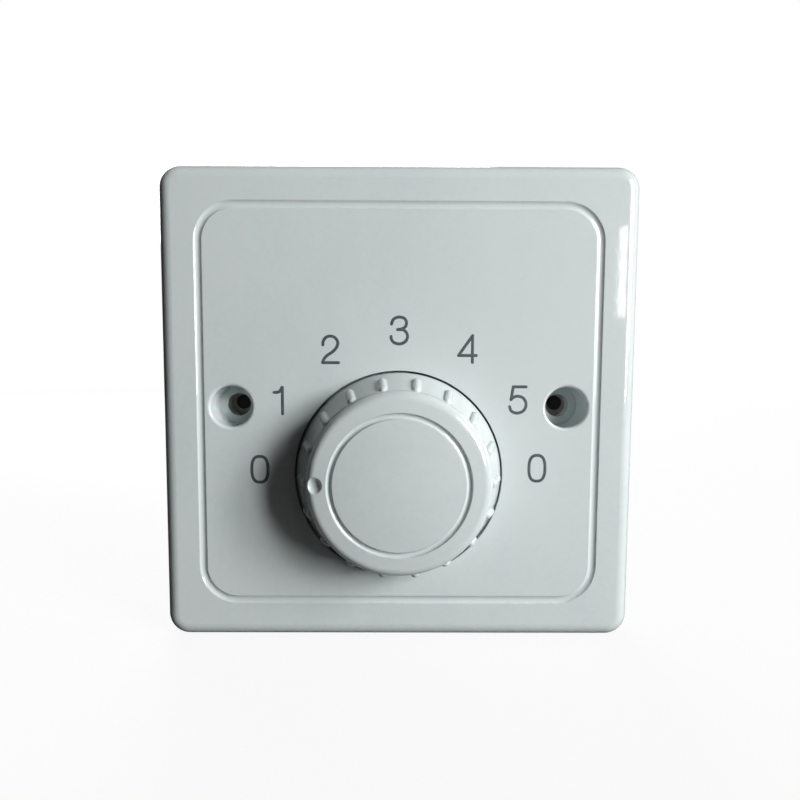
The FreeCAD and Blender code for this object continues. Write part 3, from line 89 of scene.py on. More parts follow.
# Counts and plain values
FLOOR_SIDES = 96
DISC_SIDES = 48
DISC_WAVES = 5
DISC_WAVE = 0.016
WHITE = (1, 1, 1)
PANE_WHITE = (1, 1, 0.99)
BOUNCED_WARM = (1.0, 0.84, 0.76, 1)
BRIGHT_SIDE = (0.8, 0.1, 0.6)
SENSOR_WIDTH = 36


# Settings


def colour_setting(name, description, default):
    """A colour that shows as a swatch in the sidebar."""
    return FloatVectorProperty(
        name=name, description=description, default=default, subtype="COLOR", min=0, max=1
    )


def length_setting(name, description, default):
    """A length in metres."""
    return FloatProperty(
        name=name, description=description, default=default, unit="LENGTH", precision=5
    )


def angle_setting(name, description, degrees):
    """An angle, given in degrees."""
    return FloatProperty(
        name=name, description=description, default=math.radians(degrees), subtype="ANGLE"
    )


def power_setting(name, description, watts):
    """A lamp's power."""
    return FloatProperty(name=name, description=description, default=watts, min=0, unit="POWER")


class MouldingSettings(bpy.types.PropertyGroup):
    plate: colour_setting("Plate", "Colour of the moulded plate", (0.655, 0.712, 0.714))
    knob: colour_setting("Knob", "Colour of the moulded knob", (0.645, 0.70, 0.702))
    housing: colour_setting("Housing", "Colour of the rear housing", (0.035, 0.035, 0.038))
    block: colour_setting("Terminal block", "Colour of the terminal block", (0.66, 0.65, 0.6))
    former: colour_setting("Former", "Colour of the choke's former", (0.74, 0.7, 0.58))
    rotor: colour_setting("Rotor", "Colour of the moving insulator", (0.1, 0.1, 0.11))
    gloss: FloatProperty(
        name="Roughness",
        description="Roughness of the glossy mouldings",
        default=0.04,
        min=0.02,
        max=1,
        subtype="FACTOR",
    )


class DialSettings(bpy.types.PropertyGroup):
    radius: length_setting("Ring radius", "From the ring's centre to each digit's middle", 0.0249)
    rise: length_setting("Ring rise", "From the knob's axis up to the ring's centre", 0.00105)
    aside: length_setting("Ring aside", "How far the ring's centre lies to the right", 0.0002)
    tilt: angle_setting("Ring tilt", "Turn of the ring", 0.4)
    height: length_setting("Digit height", "Height of a digit", 0.0052)
    stroke: length_setting("Stroke", "Width of a digit's line", 0.00057)
    ink: length_setting("Ink film", "How far the ink stands on the plate", 0.00002)
    colour: colour_setting("Ink", "Colour of the printed digits", (0.075, 0.1, 0.105))


class MetalSettings(bpy.types.PropertyGroup):
    zinc: colour_setting("Zinc plate", "Colour of the plated screws", (0.56, 0.57, 0.58))
    casting: colour_setting("Zinc casting", "Colour of the cast bush", (0.44, 0.45, 0.46))
    nickel: colour_setting("Nickel plate", "Colour of the nut", (0.64, 0.61, 0.55))
    spring: colour_setting("Spring steel", "Colour of the springs", (0.33, 0.34, 0.37))
    brass: colour_setting("Brass", "Colour of the contacts", (0.72, 0.5, 0.22))
    bronze: colour_setting("Bronze", "Colour of the wiper", (0.66, 0.4, 0.22))
    core: colour_setting("Core", "Colour of the varnished laminations", (0.1, 0.105, 0.12))
    lamination: length_setting("Lamination", "Thickness of one sheet of the core", 0.0005)


class WindingSettings(bpy.types.PropertyGroup):
    wire: colour_setting("Wire", "Colour of the enamelled wire", (0.42, 0.12, 0.03))
    tape: colour_setting("Tape", "Colour of the film round the coil", (0.7, 0.5, 0.07))
    board: colour_setting("Wafer", "Colour of the pressed board", (0.24, 0.1, 0.04))
    pitch: length_setting("Wire pitch", "From one turn of wire to the next", 0.00042)
    tap: colour_setting("Tap lead", "Colour of the tap leads", (0.62, 0.57, 0.42))
    feed: colour_setting("Feed lead", "Colour of the feed lead", (0.5, 0.035, 0.03))
    load: colour_setting("Load lead", "Colour of the load lead", (0.03, 0.08, 0.4))


class StageSettings(bpy.types.PropertyGroup):
    floor: colour_setting("Floor", "Colour that the lamps find on the floor", (0.05, 0.05, 0.05))
    glow: FloatProperty(
        name="Floor glow",
        description="How bright the floor looks in full shadow, where 1 is white",
        default=0.9,
        min=0,
        max=1,
        subtype="FACTOR",
    )
    key: power_setting("Key lamp", "Power of the window's two panes together", 5.2)
    back: power_setting("Back lamp", "Power of the lamp behind", 5.0)
    strip: power_setting("Window strip", "Power of the narrow strip of window", 0.022)
    fill: FloatProperty(
        name="Fill", description="Level of the light from all round", default=0.002, min=0
    )
    distance: length_setting("Camera distance", "From the plate's middle to the camera", 0.105)
    across: length_setting("Aim across", "Where the camera aims, to the right", -0.001)
    up: length_setting("Aim up", "Where the camera aims, upward", 0.00073)
    pitch: angle_setting("Pitch", "How far the camera looks down", 4.0)
    yaw: angle_setting("Yaw", "How far the camera turns", 0.28)
    roll: angle_setting("Roll", "How far the camera tilts", 0.231)
    lens: FloatProperty(name="Lens", description="Focal length in millimetres", default=24.3, min=1)
    shift: FloatProperty(
        name="Shift", description="How far the frame moves sideways, in widths", default=0.0086
    )
    facets: IntProperty(
        name="Floor rings", description="Rings in the floor's disc", default=12, min=2, max=64
    )


# Materials


class Finish:
    """A material's node tree, with short ways to add what a finish is made of."""

    def __init__(self, name):
        self.material = bpy.data.materials.new(name)
        self.material.use_nodes = True
        self.tree = self.material.node_tree
        self.shader = self.tree.nodes["Principled BSDF"]
        self.place = self.add("ShaderNodeTexCoord").outputs["Object"]

    def add(self, kind, inputs=None, **settings):
        """A node with its settings and unlinked inputs."""
        node = self.tree.nodes.new(kind)
        for key, value in settings.items():
            setattr(node, key, value)
        for key, value in (inputs or {}).items():
            node.inputs[key].default_value = value
        return node

    def link(self, source, target):
        """Join an output to an input."""
        self.tree.links.new(source, target)

    def shine(self, **sockets):
        """Set the shader's own sockets."""
        for key, value in sockets.items():
            socket = key.replace("_", " ").title().replace("Ior", "IOR")
            self.shader.inputs[socket].default_value = value

    def stretched(self, scale, turn=(0, 0, 0), move=(0, 0, 0)):
        """Places scaled differently along each direction."""
        node = self.add("ShaderNodeMapping")
        node.inputs["Location"].default_value = move
        node.inputs["Rotation"].default_value = turn
        node.inputs["Scale"].default_value = scale
        self.link(self.place, node.inputs["Vector"])
        return node.outputs[0]

    def noise(self, size, detail=3.0, rough=0.5, place=None, distort=0.0):
        """Cloudy noise whose blotches are about size metres."""
        node = self.add(
            "ShaderNodeTexNoise",
            {"Scale": 1 / size, "Detail": detail, "Roughness": rough, "Distortion": distort},
        )
        self.link(place or self.place, node.inputs["Vector"])
        return node.outputs[0]

    def specks(self, size, place=None):
        """Distance to scattered points about size metres apart."""
        node = self.add("ShaderNodeTexVoronoi", {"Scale": 1 / size})
        self.link(place or self.place, node.inputs["Vector"])
        return node.outputs["Distance"]

    def bands(self, pitch, direction, kind="BANDS", place=None, distort=0.0, detail=0.0):
        """Waves that repeat every pitch metres."""
        axis = {"BANDS": "bands_direction", "RINGS": "rings_direction"}[kind]
        node = self.add(
            "ShaderNodeTexWave",
            {"Scale": math.pi / (10 * pitch), "Distortion": distort, "Detail": detail},
            wave_type=kind,
            **{axis: direction},
        )
        self.link(place or self.place, node.inputs["Vector"])
        return node.outputs[1]

    def span(self, source, low, high, start=0.3, end=0.7):
        """A value moved from the range start to end into low to high."""
        node = self.add(
            "ShaderNodeMapRange",
            {"From Min": start, "From Max": end, "To Min": low, "To Max": high},
        )
        self.link(source, node.inputs["Value"])
        return node.outputs[0]

    def sum(self, *parts):
        """Values with their weights, added."""
        total = None
        for source, weight in parts:
            node = self.add("ShaderNodeMath", operation="MULTIPLY_ADD")
            node.inputs[1].default_value = weight
            self.link(source, node.inputs[0])
            if total is None:
                node.inputs[2].default_value = 0
            else:
                self.link(total, node.inputs[2])
            total = node.outputs[0]
        return total

    def ramp(self, source, *stops):
        """Colours laid along a value."""
        node = self.add("ShaderNodeValToRGB")
        elements = node.color_ramp.elements
        while len(elements) < len(stops):
            elements.new(0.5)
        for element, (place, colour) in zip(elements, stops):
            element.position = place
            element.color = (*colour, 1)
        self.link(source, node.inputs[0])
        return node.outputs[0]

    def colour(self, source, *stops):
        """Feed the shader's colour from colours laid along a value."""
        self.link(self.ramp(source, *stops), self.shader.inputs["Base Color"])

    def rough(self, source):
        """Feed the shader's roughness."""
        self.link(source, self.shader.inputs["Roughness"])

    def relief(self, height, depth, edge=0.00012, hub=None):
        """Softened edges under a bump of a depth in metres, with plain facets at a hub's axis."""
        soft = self.add("ShaderNodeBevel", {"Radius": edge}, samples=4).outputs[0]
        if hub is not None:
            away = self.add("ShaderNodeVectorMath", operation="LENGTH")
            self.link(self.stretched((1, 0, 1), (0, 0, 0), (-hub.x, 0, -hub.z)), away.inputs[0])
            plain = self.add("ShaderNodeMix", data_type="VECTOR")
            self.link(self.span(away.outputs["Value"], 1, 0, HUB_PLAIN, HUB_BLEND), plain.inputs[0])
            self.link(soft, plain.inputs[4])
            self.link(self.add("ShaderNodeNewGeometry").outputs["True Normal"], plain.inputs[5])
            soft = plain.outputs[1]
        bump = self.add("ShaderNodeBump", {"Distance": depth})
        self.link(height, bump.inputs["Height"])
        self.link(soft, bump.inputs["Normal"])
        self.link(bump.outputs[0], self.shader.inputs["Normal"])


def shade(colour, factor):
    """A colour made lighter or darker."""
    return tuple(min(1.0, part * factor) for part in colour)


def blend(first, second, share):
    """A colour between two others."""
    return tuple(a + (b - a) * share for a, b in zip(first, second))


def gloss_moulding(name, colour, roughness, flow, hub=None):
    """Polished moulded plastic: faint flow clouds, orange peel, dust specks and wiped patches."""
    finish = Finish(name)
    cloud = finish.noise(0.02, 4, 0.6, finish.stretched(flow))
    grime = finish.noise(0.0011, 5, 0.65)
    dust = finish.specks(0.0021)
    worn = finish.sum((cloud, 0.6), (grime, 0.3), (finish.span(dust, 1.0, 0.0, 0.02, 0.09), -0.35))
    cool = blend(colour, (colour[0] * 0.94, colour[1], colour[2] * 1.02), 0.5)
    finish.colour(worn, (0.25, shade(cool, 0.94)), (0.45, colour), (0.7, shade(colour, 1.03)))
    wiped = finish.noise(0.006, 5, 0.7, finish.stretched((1, 1, 0.35), (0, 0.5, 0)), 0.8)
    finish.rough(finish.span(wiped, roughness * 0.85, roughness * 1.35))
    peel = finish.sum((finish.noise(0.0016, 2), 1.0), (finish.noise(0.00022, 2), 0.12))
    finish.relief(peel, ORANGE_PEEL, MOULDED_EDGE, hub)
    finish.shine(ior=1.5, coat_weight=0.25, coat_roughness=0.03, specular_ior_level=0.5)
    return finish.material


def textured_moulding(name, colour, roughness, grain, depth, fleck=0.1):
    """Moulded plastic with an even spark-eroded grain and lighter rubbed spots."""
    finish = Finish(name)
    cloud = finish.noise(0.014, 4, 0.55)
    rubbed = finish.noise(0.0035, 5, 0.72, None, 0.6)
    mix = finish.sum((cloud, 0.55), (rubbed, 0.45))
    rubbed_tint = blend(colour, (0.55, 0.55, 0.55), fleck)
    finish.colour(mix, (0.3, shade(colour, 0.86)), (0.52, colour), (0.78, rubbed_tint))
    pits = finish.specks(grain)
    body = finish.noise(grain * 1.7, 3, 0.6)
    finish.rough(finish.span(rubbed, roughness * 1.12, roughness * 0.82))
    finish.relief(finish.sum((pits, 0.7), (body, 0.6)), depth, 0.00015)
    finish.shine(ior=1.47, specular_ior_level=0.45)
    return finish.material


def plated_metal(name, colour, tint, roughness, grain=(1, 1, 1)):
    """Plated or drawn metal: blotched tint, fine drawn lines and dulled patches."""
    finish = Finish(name)
    blotch = finish.noise(0.0024, 5, 0.6, None, 0.4)
    drawn = finish.noise(0.0009, 4, 0.7, finish.stretched(grain))
    mix = finish.sum((blotch, 0.65), (drawn, 0.35))
    finish.colour(mix, (0.32, shade(colour, 0.8)), (0.5, colour), (0.7, blend(colour, tint, 0.6)))
    finish.rough(finish.span(mix, roughness * 0.75, roughness * 1.4))
    finish.relief(finish.sum((drawn, 0.7), (finish.noise(0.00018, 2), 0.4)), 0.000012, 0.00012)
    finish.shine(metallic=1.0)
    return finish.material


def turned_metal(name, colour, tint, roughness, move):
    """Metal turned on a lathe: rings about its axis, with a drifting tint."""
    finish = Finish(name)
    centred = finish.stretched((1, 1, 1), (0, 0, 0), move)
    rings = finish.bands(0.00022, "Y", "RINGS", centred, 1.5, 2.0)
    blotch = finish.noise(0.003, 4, 0.6)
    mix = finish.sum((rings, 0.25), (blotch, 0.75))
    finish.colour(mix, (0.3, shade(colour, 0.84)), (0.52, colour), (0.75, tint))
    finish.rough(finish.span(mix, roughness * 0.8, roughness * 1.3))
    finish.relief(finish.sum((rings, 0.6), (finish.noise(0.0003, 3), 0.4)), 0.00001, 0.00012)
    finish.shine(metallic=1.0)
    return finish.material


def cast_metal(name, colour):
    """Die-cast metal: a dull skin with cold flow swirls and small pits."""
    finish = Finish(name)
    flow = finish.noise(0.0045, 6, 0.62, None, 2.4)
    pits = finish.specks(0.0006)
    finish.colour(flow, (0.3, shade(colour, 0.72)), (0.5, colour), (0.72, shade(colour, 1.18)))
    finish.rough(finish.span(flow, 0.62, 0.42))
    dents = finish.span(pits, 0, 1, 0.0, 0.3)
    finish.relief(finish.sum((flow, 0.5), (dents, 0.6)), 0.00003, 0.00015)
    finish.shine(metallic=0.9)
    return finish.material


def core_sheets(name, colour, sheet):
    """Stacked sheets under brushed varnish: a dark seam at each sheet and rust at the cut edges."""
    finish = Finish(name)
    seams = finish.bands(sheet, "Y", "BANDS", None, 0.35, 1.0)
    rust = finish.noise(0.0042, 6, 0.66, None, 0.7)
    runs = finish.noise(0.0016, 3, 0.55, finish.stretched((1, 0.2, 1)))
    mix = finish.sum((seams, 0.3), (rust, 0.5), (runs, 0.2))
    finish.colour(
        mix,
        (0.28, shade(colour, 0.35)),
        (0.5, colour),
        (0.66, shade(colour, 1.8)),
        (0.86, (0.26, 0.11, 0.045)),
    )
    finish.rough(finish.span(mix, 0.55, 0.28))
    finish.relief(finish.sum((seams, 0.8), (runs, 0.3)), 0.00006, 0.0001)
    finish.shine(metallic=0.45, coat_weight=0.5, coat_roughness=0.25, coat_tint=(0.9, 0.72, 0.5, 1))
    return finish.material


def wound_wire(name, colour, pitch):
    """Enamelled wire laid turn by turn: rounded turns and amber enamel, with painted shade in the
    grooves between turns and a painted highlight along their crests.
    """
    finish = Finish(name)
    turns = finish.bands(pitch, "Z", "BANDS", None, 0.6, 1.5)
    cloud = finish.noise(0.005, 4, 0.6)
    mix = finish.sum((turns, 0.7), (cloud, 0.3))
    # The bands that bump the turns also darken the grooves (painted shade) and lighten the crests
    # (painted highlight)
    finish.colour(mix, (0.1, shade(colour, 0.2)), (0.45, colour), (0.85, shade(colour, 1.9)))
    finish.rough(finish.span(cloud, 0.22, 0.38))
    finish.relief(turns, 0.00016, 0.0001)
    finish.shine(metallic=0.75, coat_weight=0.8, coat_roughness=0.12, coat_tint=(1, 0.62, 0.3, 1))
    return finish.material


def wrapped_film(name, colour):
    """Film wound round a coil: lapped edges, trapped air and the turns showing through."""
    finish = Finish(name)
    laps = finish.bands(0.0036, "Z", "BANDS", None, 0.3, 1.0)
    turns = finish.bands(0.0009, "Z", "BANDS", None, 1.2, 2.0)
    air = finish.noise(0.0028, 5, 0.7, finish.stretched((1, 1, 2.2)), 0.9)
    mix = finish.sum((laps, 0.3), (turns, 0.2), (air, 0.5))
    lifted = blend(colour, (1, 0.9, 0.6), 0.4)
    finish.colour(mix, (0.25, shade(colour, 0.6)), (0.5, colour), (0.8, lifted))
    finish.rough(finish.span(air, 0.16, 0.34))
    finish.relief(finish.sum((laps, 0.6), (turns, 0.5), (air, 0.7)), 0.00007)
    finish.shine(coat_weight=0.7, coat_roughness=0.08, ior=1.55)
    return finish.material


def pressed_board(name, colour):
    """Phenolic paper board: paper fibres, resin clouds and pale flecks."""
    finish = Finish(name)
    fibres = finish.noise(0.0014, 6, 0.72, finish.stretched((0.3, 1, 1.6)), 1.2)
    resin = finish.noise(0.005, 4, 0.55)
    flecks = finish.span(finish.specks(0.0012), 1.0, 0.0, 0.0, 0.16)
    mix = finish.sum((fibres, 0.6), (resin, 0.3), (flecks, 0.16))
    pale = blend(colour, (0.5, 0.3, 0.14), 0.7)
    finish.colour(mix, (0.26, shade(colour, 0.55)), (0.48, colour), (0.75, pale))
    finish.rough(finish.span(fibres, 0.35, 0.55))
    finish.relief(finish.sum((fibres, 0.8), (flecks, 0.1)), 0.00002)
    finish.shine(ior=1.6)
    return finish.material


def soft_sheath(name, colour):
    """Soft vinyl round a lead: die lines along it, a waxy haze and rubbed dirt."""
    finish = Finish(name)
    haze = finish.noise(0.0032, 4, 0.6)
    lines = finish.noise(0.0006, 3, 0.6, finish.stretched((1, 0.22, 1)))
    mix = finish.sum((haze, 0.6), (lines, 0.4))
    hazy = blend(colour, (0.8, 0.8, 0.8), 0.12)
    finish.colour(mix, (0.3, shade(colour, 0.72)), (0.5, colour), (0.75, hazy))
    finish.rough(finish.span(haze, 0.34, 0.5))
    finish.relief(finish.sum((lines, 0.8), (haze, 0.3)), 0.00002)
    finish.shine(ior=1.48, sheen_weight=0.1)
    return finish.material


def dial_ink(name, colour):
    """Pad-printed ink: uneven cover at the rim of each line and a dull face."""
    finish = Finish(name)
    cover = finish.noise(0.00045, 5, 0.7)
    film = finish.noise(0.004, 3)
    mix = finish.sum((cover, 0.6), (film, 0.4))
    finish.colour(mix, (0.3, shade(colour, 0.75)), (0.5, colour), (0.72, shade(colour, 1.7)))
    finish.rough(finish.span(cover, 0.32, 0.52))
    finish.relief(cover, 0.000006, 0.00001)
    finish.shine(ior=1.5)
    return finish.material


def dress(material, *names):
    """Give CAD nodes a finish."""
    for name in names:
        surface = frame["nodes"][name].data
        surface.materials.clear()
        surface.materials.append(material)


# Dial print


def oval(middle, reach, power=2.5, count=40):
    """A closed line round a middle, squarer than an ellipse."""
    points = []
    for step in range(count + 1):
        angle = 2 * math.pi * step / count
        across, along = math.cos(angle), math.sin(angle)
        points.append(
            (
                middle[0] + reach[0] * math.copysign(abs(across) ** (2 / power), across),
                middle[1] + reach[1] * math.copysign(abs(along) ** (2 / power), along),
            )
        )
    return points


def through(points, count=9):
    """A smooth line through points."""
    ends = [points[0], *points, points[-1]]
    line = []
    for number in range(1, len(ends) - 2):
        before, start, end, after = ends[number - 1 : number + 3]
        for step in range(count):
            t = step / count
            line.append(
                tuple(
                    0.5
                    * (
                        2 * b
                        + (c - a) * t
                        + (2 * a - 5 * b + 4 * c - d) * t * t
                        + (3 * b - a - 3 * c + d) * t**3
                    )
                    for a, b, c, d in zip(before, start, end, after)
                )
            )
    return [*line, points[-1]]


GLYPHS = {
    "0": [oval((0.32, 0.5), (0.28, 0.455), 2.6)],
    "1": [
        [(0.32, 0.96), (0.32, 0.045)],
        through([(0.04, 0.785), (0.15, 0.79), (0.235, 0.83), (0.3, 0.955)]),
    ],
    "2": [
        through(
            [(0.06, 0.66), (0.08, 0.8), (0.17, 0.915), (0.32, 0.955), (0.48, 0.9), (0.57, 0.75)]
            + [(0.53, 0.58), (0.4, 0.43), (0.21, 0.3), (0.1, 0.18), (0.05, 0.06)]
        ),
        [(0.05, 0.05), (0.59, 0.05)],
    ],
    "3": [
        through(
            [(0.05, 0.72), (0.1, 0.86), (0.22, 0.94), (0.34, 0.955), (0.49, 0.91), (0.56, 0.78)]
            + [(0.53, 0.64), (0.42, 0.56), (0.26, 0.53)]
        ),
        through(
            [(0.26, 0.53), (0.44, 0.525), (0.56, 0.43), (0.6, 0.28), (0.53, 0.13), (0.4, 0.055)]
            + [(0.27, 0.045), (0.12, 0.1), (0.05, 0.2), (0.035, 0.29)]
        ),
    ],
    "4": [
        [(0.52, 0.045), (0.52, 0.96)],
        [(0.52, 0.96), (0.04, 0.28)],
        [(0.04, 0.28), (0.65, 0.28)],
    ],
    "5": [
        [(0.6, 0.95), (0.16, 0.95)],
        [(0.16, 0.95), (0.09, 0.51)],
        through(
            [(0.09, 0.51), (0.2, 0.6), (0.34, 0.625), (0.5, 0.57), (0.6, 0.42), (0.6, 0.25)]
            + [(0.52, 0.12), (0.38, 0.05), (0.24, 0.045), (0.1, 0.12), (0.045, 0.26)]
        ),
    ],
}
DIAL = [
    ("zero_left", "0", 6, -0.0004),
    ("one", "1", 5, -0.00017),
    ("two", "2", 4, 0.00016),
    ("three", "3", 3, 0),
    ("four", "4", 2, -0.0003),
    ("five", "5", 1, -0.00027),
    ("zero_right", "0", 0, 0),
]
SECTION = [
    (-1.0, -0.4),
    (-0.92, 0.55),
    (-0.5, 0.95),
    (0.0, 1.0),
    (0.5, 0.95),
    (0.92, 0.55),
    (1.0, -0.4),
]


def stations(line, half, closed):
    """Places along a line with its heading and half width, rounded off at open ends."""
    points = [Vector(point) for point in line]
    places = []
    last = len(points) - 1
    for number, point in enumerate(points):
        before = points[number - 1] if number else points[-2] if closed else point
        after = points[number + 1] if number < last else points[1] if closed else point
        places.append((point, (after - before).normalized(), half))
    if closed:
        return places[:-1]
    turns = [math.radians(degrees) for degrees in (85, 65, 45, 25)]
    first, heading, _ = places[0]
    start = [(first - heading * half * math.sin(a), heading, half * math.cos(a)) for a in turns]
    final, heading, _ = places[-1]
    end = [(final + heading * half * math.sin(a), heading, half * math.cos(a)) for a in turns[::-1]]
    return start + places + end


def ribbon(mesh, line, half, film, place):
    """One inked line: a low domed ribbon along it."""
    closed = (Vector(line[0]) - Vector(line[-1])).length < 1e-6
    rings = []
    for middle, heading, width in stations(line, half, closed):
        side = Vector((-heading.y, heading.x))
        ring = []
        for across, height in SECTION:
            flat = middle + side * across * width
            ring.append(mesh.verts.new(place(flat, height * film)))
        rings.append(ring)
    pairs = list(zip(rings, rings[1:] + rings[:1])) if closed else list(zip(rings, rings[1:]))
    for first, second in pairs:
        for number in range(len(SECTION)):
            following = (number + 1) % len(SECTION)
            mesh.faces.new((first[number], second[number], second[following], first[following]))
    if not closed:
        mesh.faces.new(rings[0])
        mesh.faces.new(rings[-1][::-1])


def add_piece(name, mesh, material, smooth=True):
    """Turn a bmesh into a piece with a finish."""
    bmesh.ops.recalc_face_normals(mesh, faces=mesh.faces)
    data = bpy.data.meshes.new(name)
    mesh.to_mesh(data)
    mesh.free()
    data.materials.append(material)
    if smooth:
        data.shade_smooth()
    piece = bpy.data.objects.new(name, data)
    bpy.context.scene.collection.objects.link(piece)
    return piece


def print_digit(name, glyph, middle, dial, material):
    """One printed digit, upright about its middle."""
    scale = dial.height
    lines = GLYPHS[glyph]
    across = [point[0] for line in lines for point in line]
    centre = (min(across) + max(across)) / 2

    def place(flat, height):
        return Vector(
            (
                middle.x + (flat.x - centre) * scale,
                PLATE_FACE - height,
                middle.z + (flat.y - 0.5) * scale,
            )
        )

    mesh = bmesh.new()
    for line in lines:
        ribbon(mesh, line, dial.stroke / 2 / scale, dial.ink, place)
    return add_piece("dial_" + name, mesh, material)


# Operators


class FANSWITCH_OT_plate(bpy.types.Operator):
    """Finish the moulded wall plate"""

    bl_idname = "fan_switch.plate"
    bl_label = "Front plate"

    def execute(self, context):
        moulding = context.scene.fan_switch_moulding
        white = gloss_moulding("plate_white", moulding.plate, moulding.gloss, (1, 1, 0.5))
        dress(white, "front_plate")
        return {"FINISHED"}


class FANSWITCH_OT_knob(bpy.types.Operator):
    """Finish the ribbed knob"""

    bl_idname = "fan_switch.knob"
    bl_label = "Knob"

    def execute(self, context):
        moulding = context.scene.fan_switch_moulding
        flow = (0.6, 1, 1)
        dress(gloss_moulding("knob_white", moulding.knob, moulding.gloss, flow, KNOB_AXIS), "knob")
        return {"FINISHED"}


class FANSWITCH_OT_dial(bpy.types.Operator):
    """Print the digits round the knob"""

    bl_idname = "fan_switch.dial"
    bl_label = "Dial print"

    def execute(self, context):
        dial = context.scene.fan_switch_dial
        ink = dial_ink("dial_ink", dial.colour)
        for name, glyph, step, aside in DIAL:
            angle = DETENT * step + dial.tilt
            centre = KNOB_AXIS + Vector((dial.aside + aside, 0, dial.rise))
            reach = Vector((math.cos(angle), 0, math.sin(angle))) * dial.radius
            piece = print_digit(name, glyph, centre + reach, dial, ink)
            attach(piece, "root")
        return {"FINISHED"}


class FANSWITCH_OT_step_switch(bpy.types.Operator):
    """Finish the rotary step switch behind the knob"""

    bl_idname = "fan_switch.step_switch"
    bl_label = "Step switch"

    def execute(self, context):
        metal = context.scene.fan_switch_metal
        moulding = context.scene.fan_switch_moulding
        winding = context.scene.fan_switch_winding
        centre = tuple(-KNOB_AXIS)
        steel = plated_metal("spring_steel", metal.spring, (0.3, 0.36, 0.46), 0.32, (1, 1, 0.15))
        dress(steel, "knob_spring_clip", "detent_spring", "shaft_circlip", "lock_washer")
        shaft = turned_metal("shaft_steel", metal.zinc, (0.66, 0.66, 0.62), 0.3, centre)
        dress(shaft, "switch_shaft")
        nickel = turned_metal("nickel_brass", metal.nickel, (0.72, 0.68, 0.58), 0.24, centre)
        dress(nickel, "bush_nut")
        dress(cast_metal("die_cast_zinc", metal.casting), "switch_bush")
        star = plated_metal("star_zinc", metal.zinc, (0.66, 0.62, 0.42), 0.34, (1, 0.3, 1))
        dress(star, "star_wheel")
        rotor = textured_moulding("rotor_plastic", moulding.rotor, 0.4, 0.00028, 0.000012, 0.08)
        dress(rotor, "switch_rotor")
        bronze = plated_metal("contact_bronze", metal.bronze, (0.5, 0.34, 0.3), 0.3, (0.15, 1, 1))
        dress(bronze, "wiper_contact")
        brass = turned_metal("contact_brass", metal.brass, (0.66, 0.4, 0.16), 0.26, centre)
        dress(brass, "common_contact", *["tap_contact_%d" % step for step in range(1, 6)])
        dress(pressed_board("wafer_board", winding.board), "switch_wafer")
        return {"FINISHED"}


class FANSWITCH_OT_choke(bpy.types.Operator):
    """Finish the tapped choke"""

    bl_idname = "fan_switch.choke"
    bl_label = "Choke"

    def execute(self, context):
        metal = context.scene.fan_switch_metal
        moulding = context.scene.fan_switch_moulding
        winding = context.scene.fan_switch_winding
        core = core_sheets("core_steel", metal.core, metal.lamination)
        dress(core, "choke_core_e", "choke_core_i")
        former = textured_moulding("former_nylon", moulding.former, 0.38, 0.0004, 0.000015)
        dress(former, "choke_bobbin")
        dress(wound_wire("winding_copper", winding.wire, winding.pitch), "choke_winding")
        dress(wrapped_film("tape_film", winding.tape), "winding_tape")
        tin = shade(metal.zinc, 1.15)
        pins = plated_metal("pin_tin", tin, (0.7, 0.62, 0.42), 0.28, (1, 1, 0.2))
        dress(pins, "bobbin_pins")
        dull = shade(metal.zinc, 0.95)
        clamp = plated_metal("clamp_steel", dull, (0.62, 0.6, 0.5), 0.36, (0.2, 1, 1))
        dress(clamp, "choke_frame")
        return {"FINISHED"}


class FANSWITCH_OT_terminals(bpy.types.Operator):
    """Finish the terminal block, its clamps and its screws"""

    bl_idname = "fan_switch.terminals"
    bl_label = "Terminals"

    def execute(self, context):
        metal = context.scene.fan_switch_metal
        moulding = context.scene.fan_switch_moulding
        block = textured_moulding("block_plastic", moulding.block, 0.42, 0.00035, 0.00002)
        dress(block, "terminal_block")
        brass = plated_metal("clamp_brass", metal.brass, (0.6, 0.36, 0.15), 0.3, (1, 1, 0.2))
        dress(brass, "terminal_clamp_left", "terminal_clamp_right")
        screw = plated_metal("screw_zinc", metal.zinc, (0.66, 0.62, 0.42), 0.3)
        dress(screw, "terminal_screws", "housing_screws", "choke_screws", "wafer_screws")
        return {"FINISHED"}


class FANSWITCH_OT_leads(bpy.types.Operator):
    """Finish the leads inside the housing"""

    bl_idname = "fan_switch.leads"
    bl_label = "Leads"

    def execute(self, context):
        winding = context.scene.fan_switch_winding
        dress(soft_sheath("lead_tap", winding.tap), *["tap_lead_%d" % step for step in range(1, 6)])
        dress(soft_sheath("lead_feed", winding.feed), "feed_lead")
        dress(soft_sheath("lead_load", winding.load), "return_lead")
        return {"FINISHED"}


class FANSWITCH_OT_housing(bpy.types.Operator):
    """Finish the rear housing"""

    bl_idname = "fan_switch.housing"
    bl_label = "Rear housing"

    def execute(self, context):
        colour = context.scene.fan_switch_moulding.housing
        black = textured_moulding("housing_black", colour, 0.5, 0.0005, 0.00003, 0.06)
        dress(black, "rear_housing")
        return {"FINISHED"}


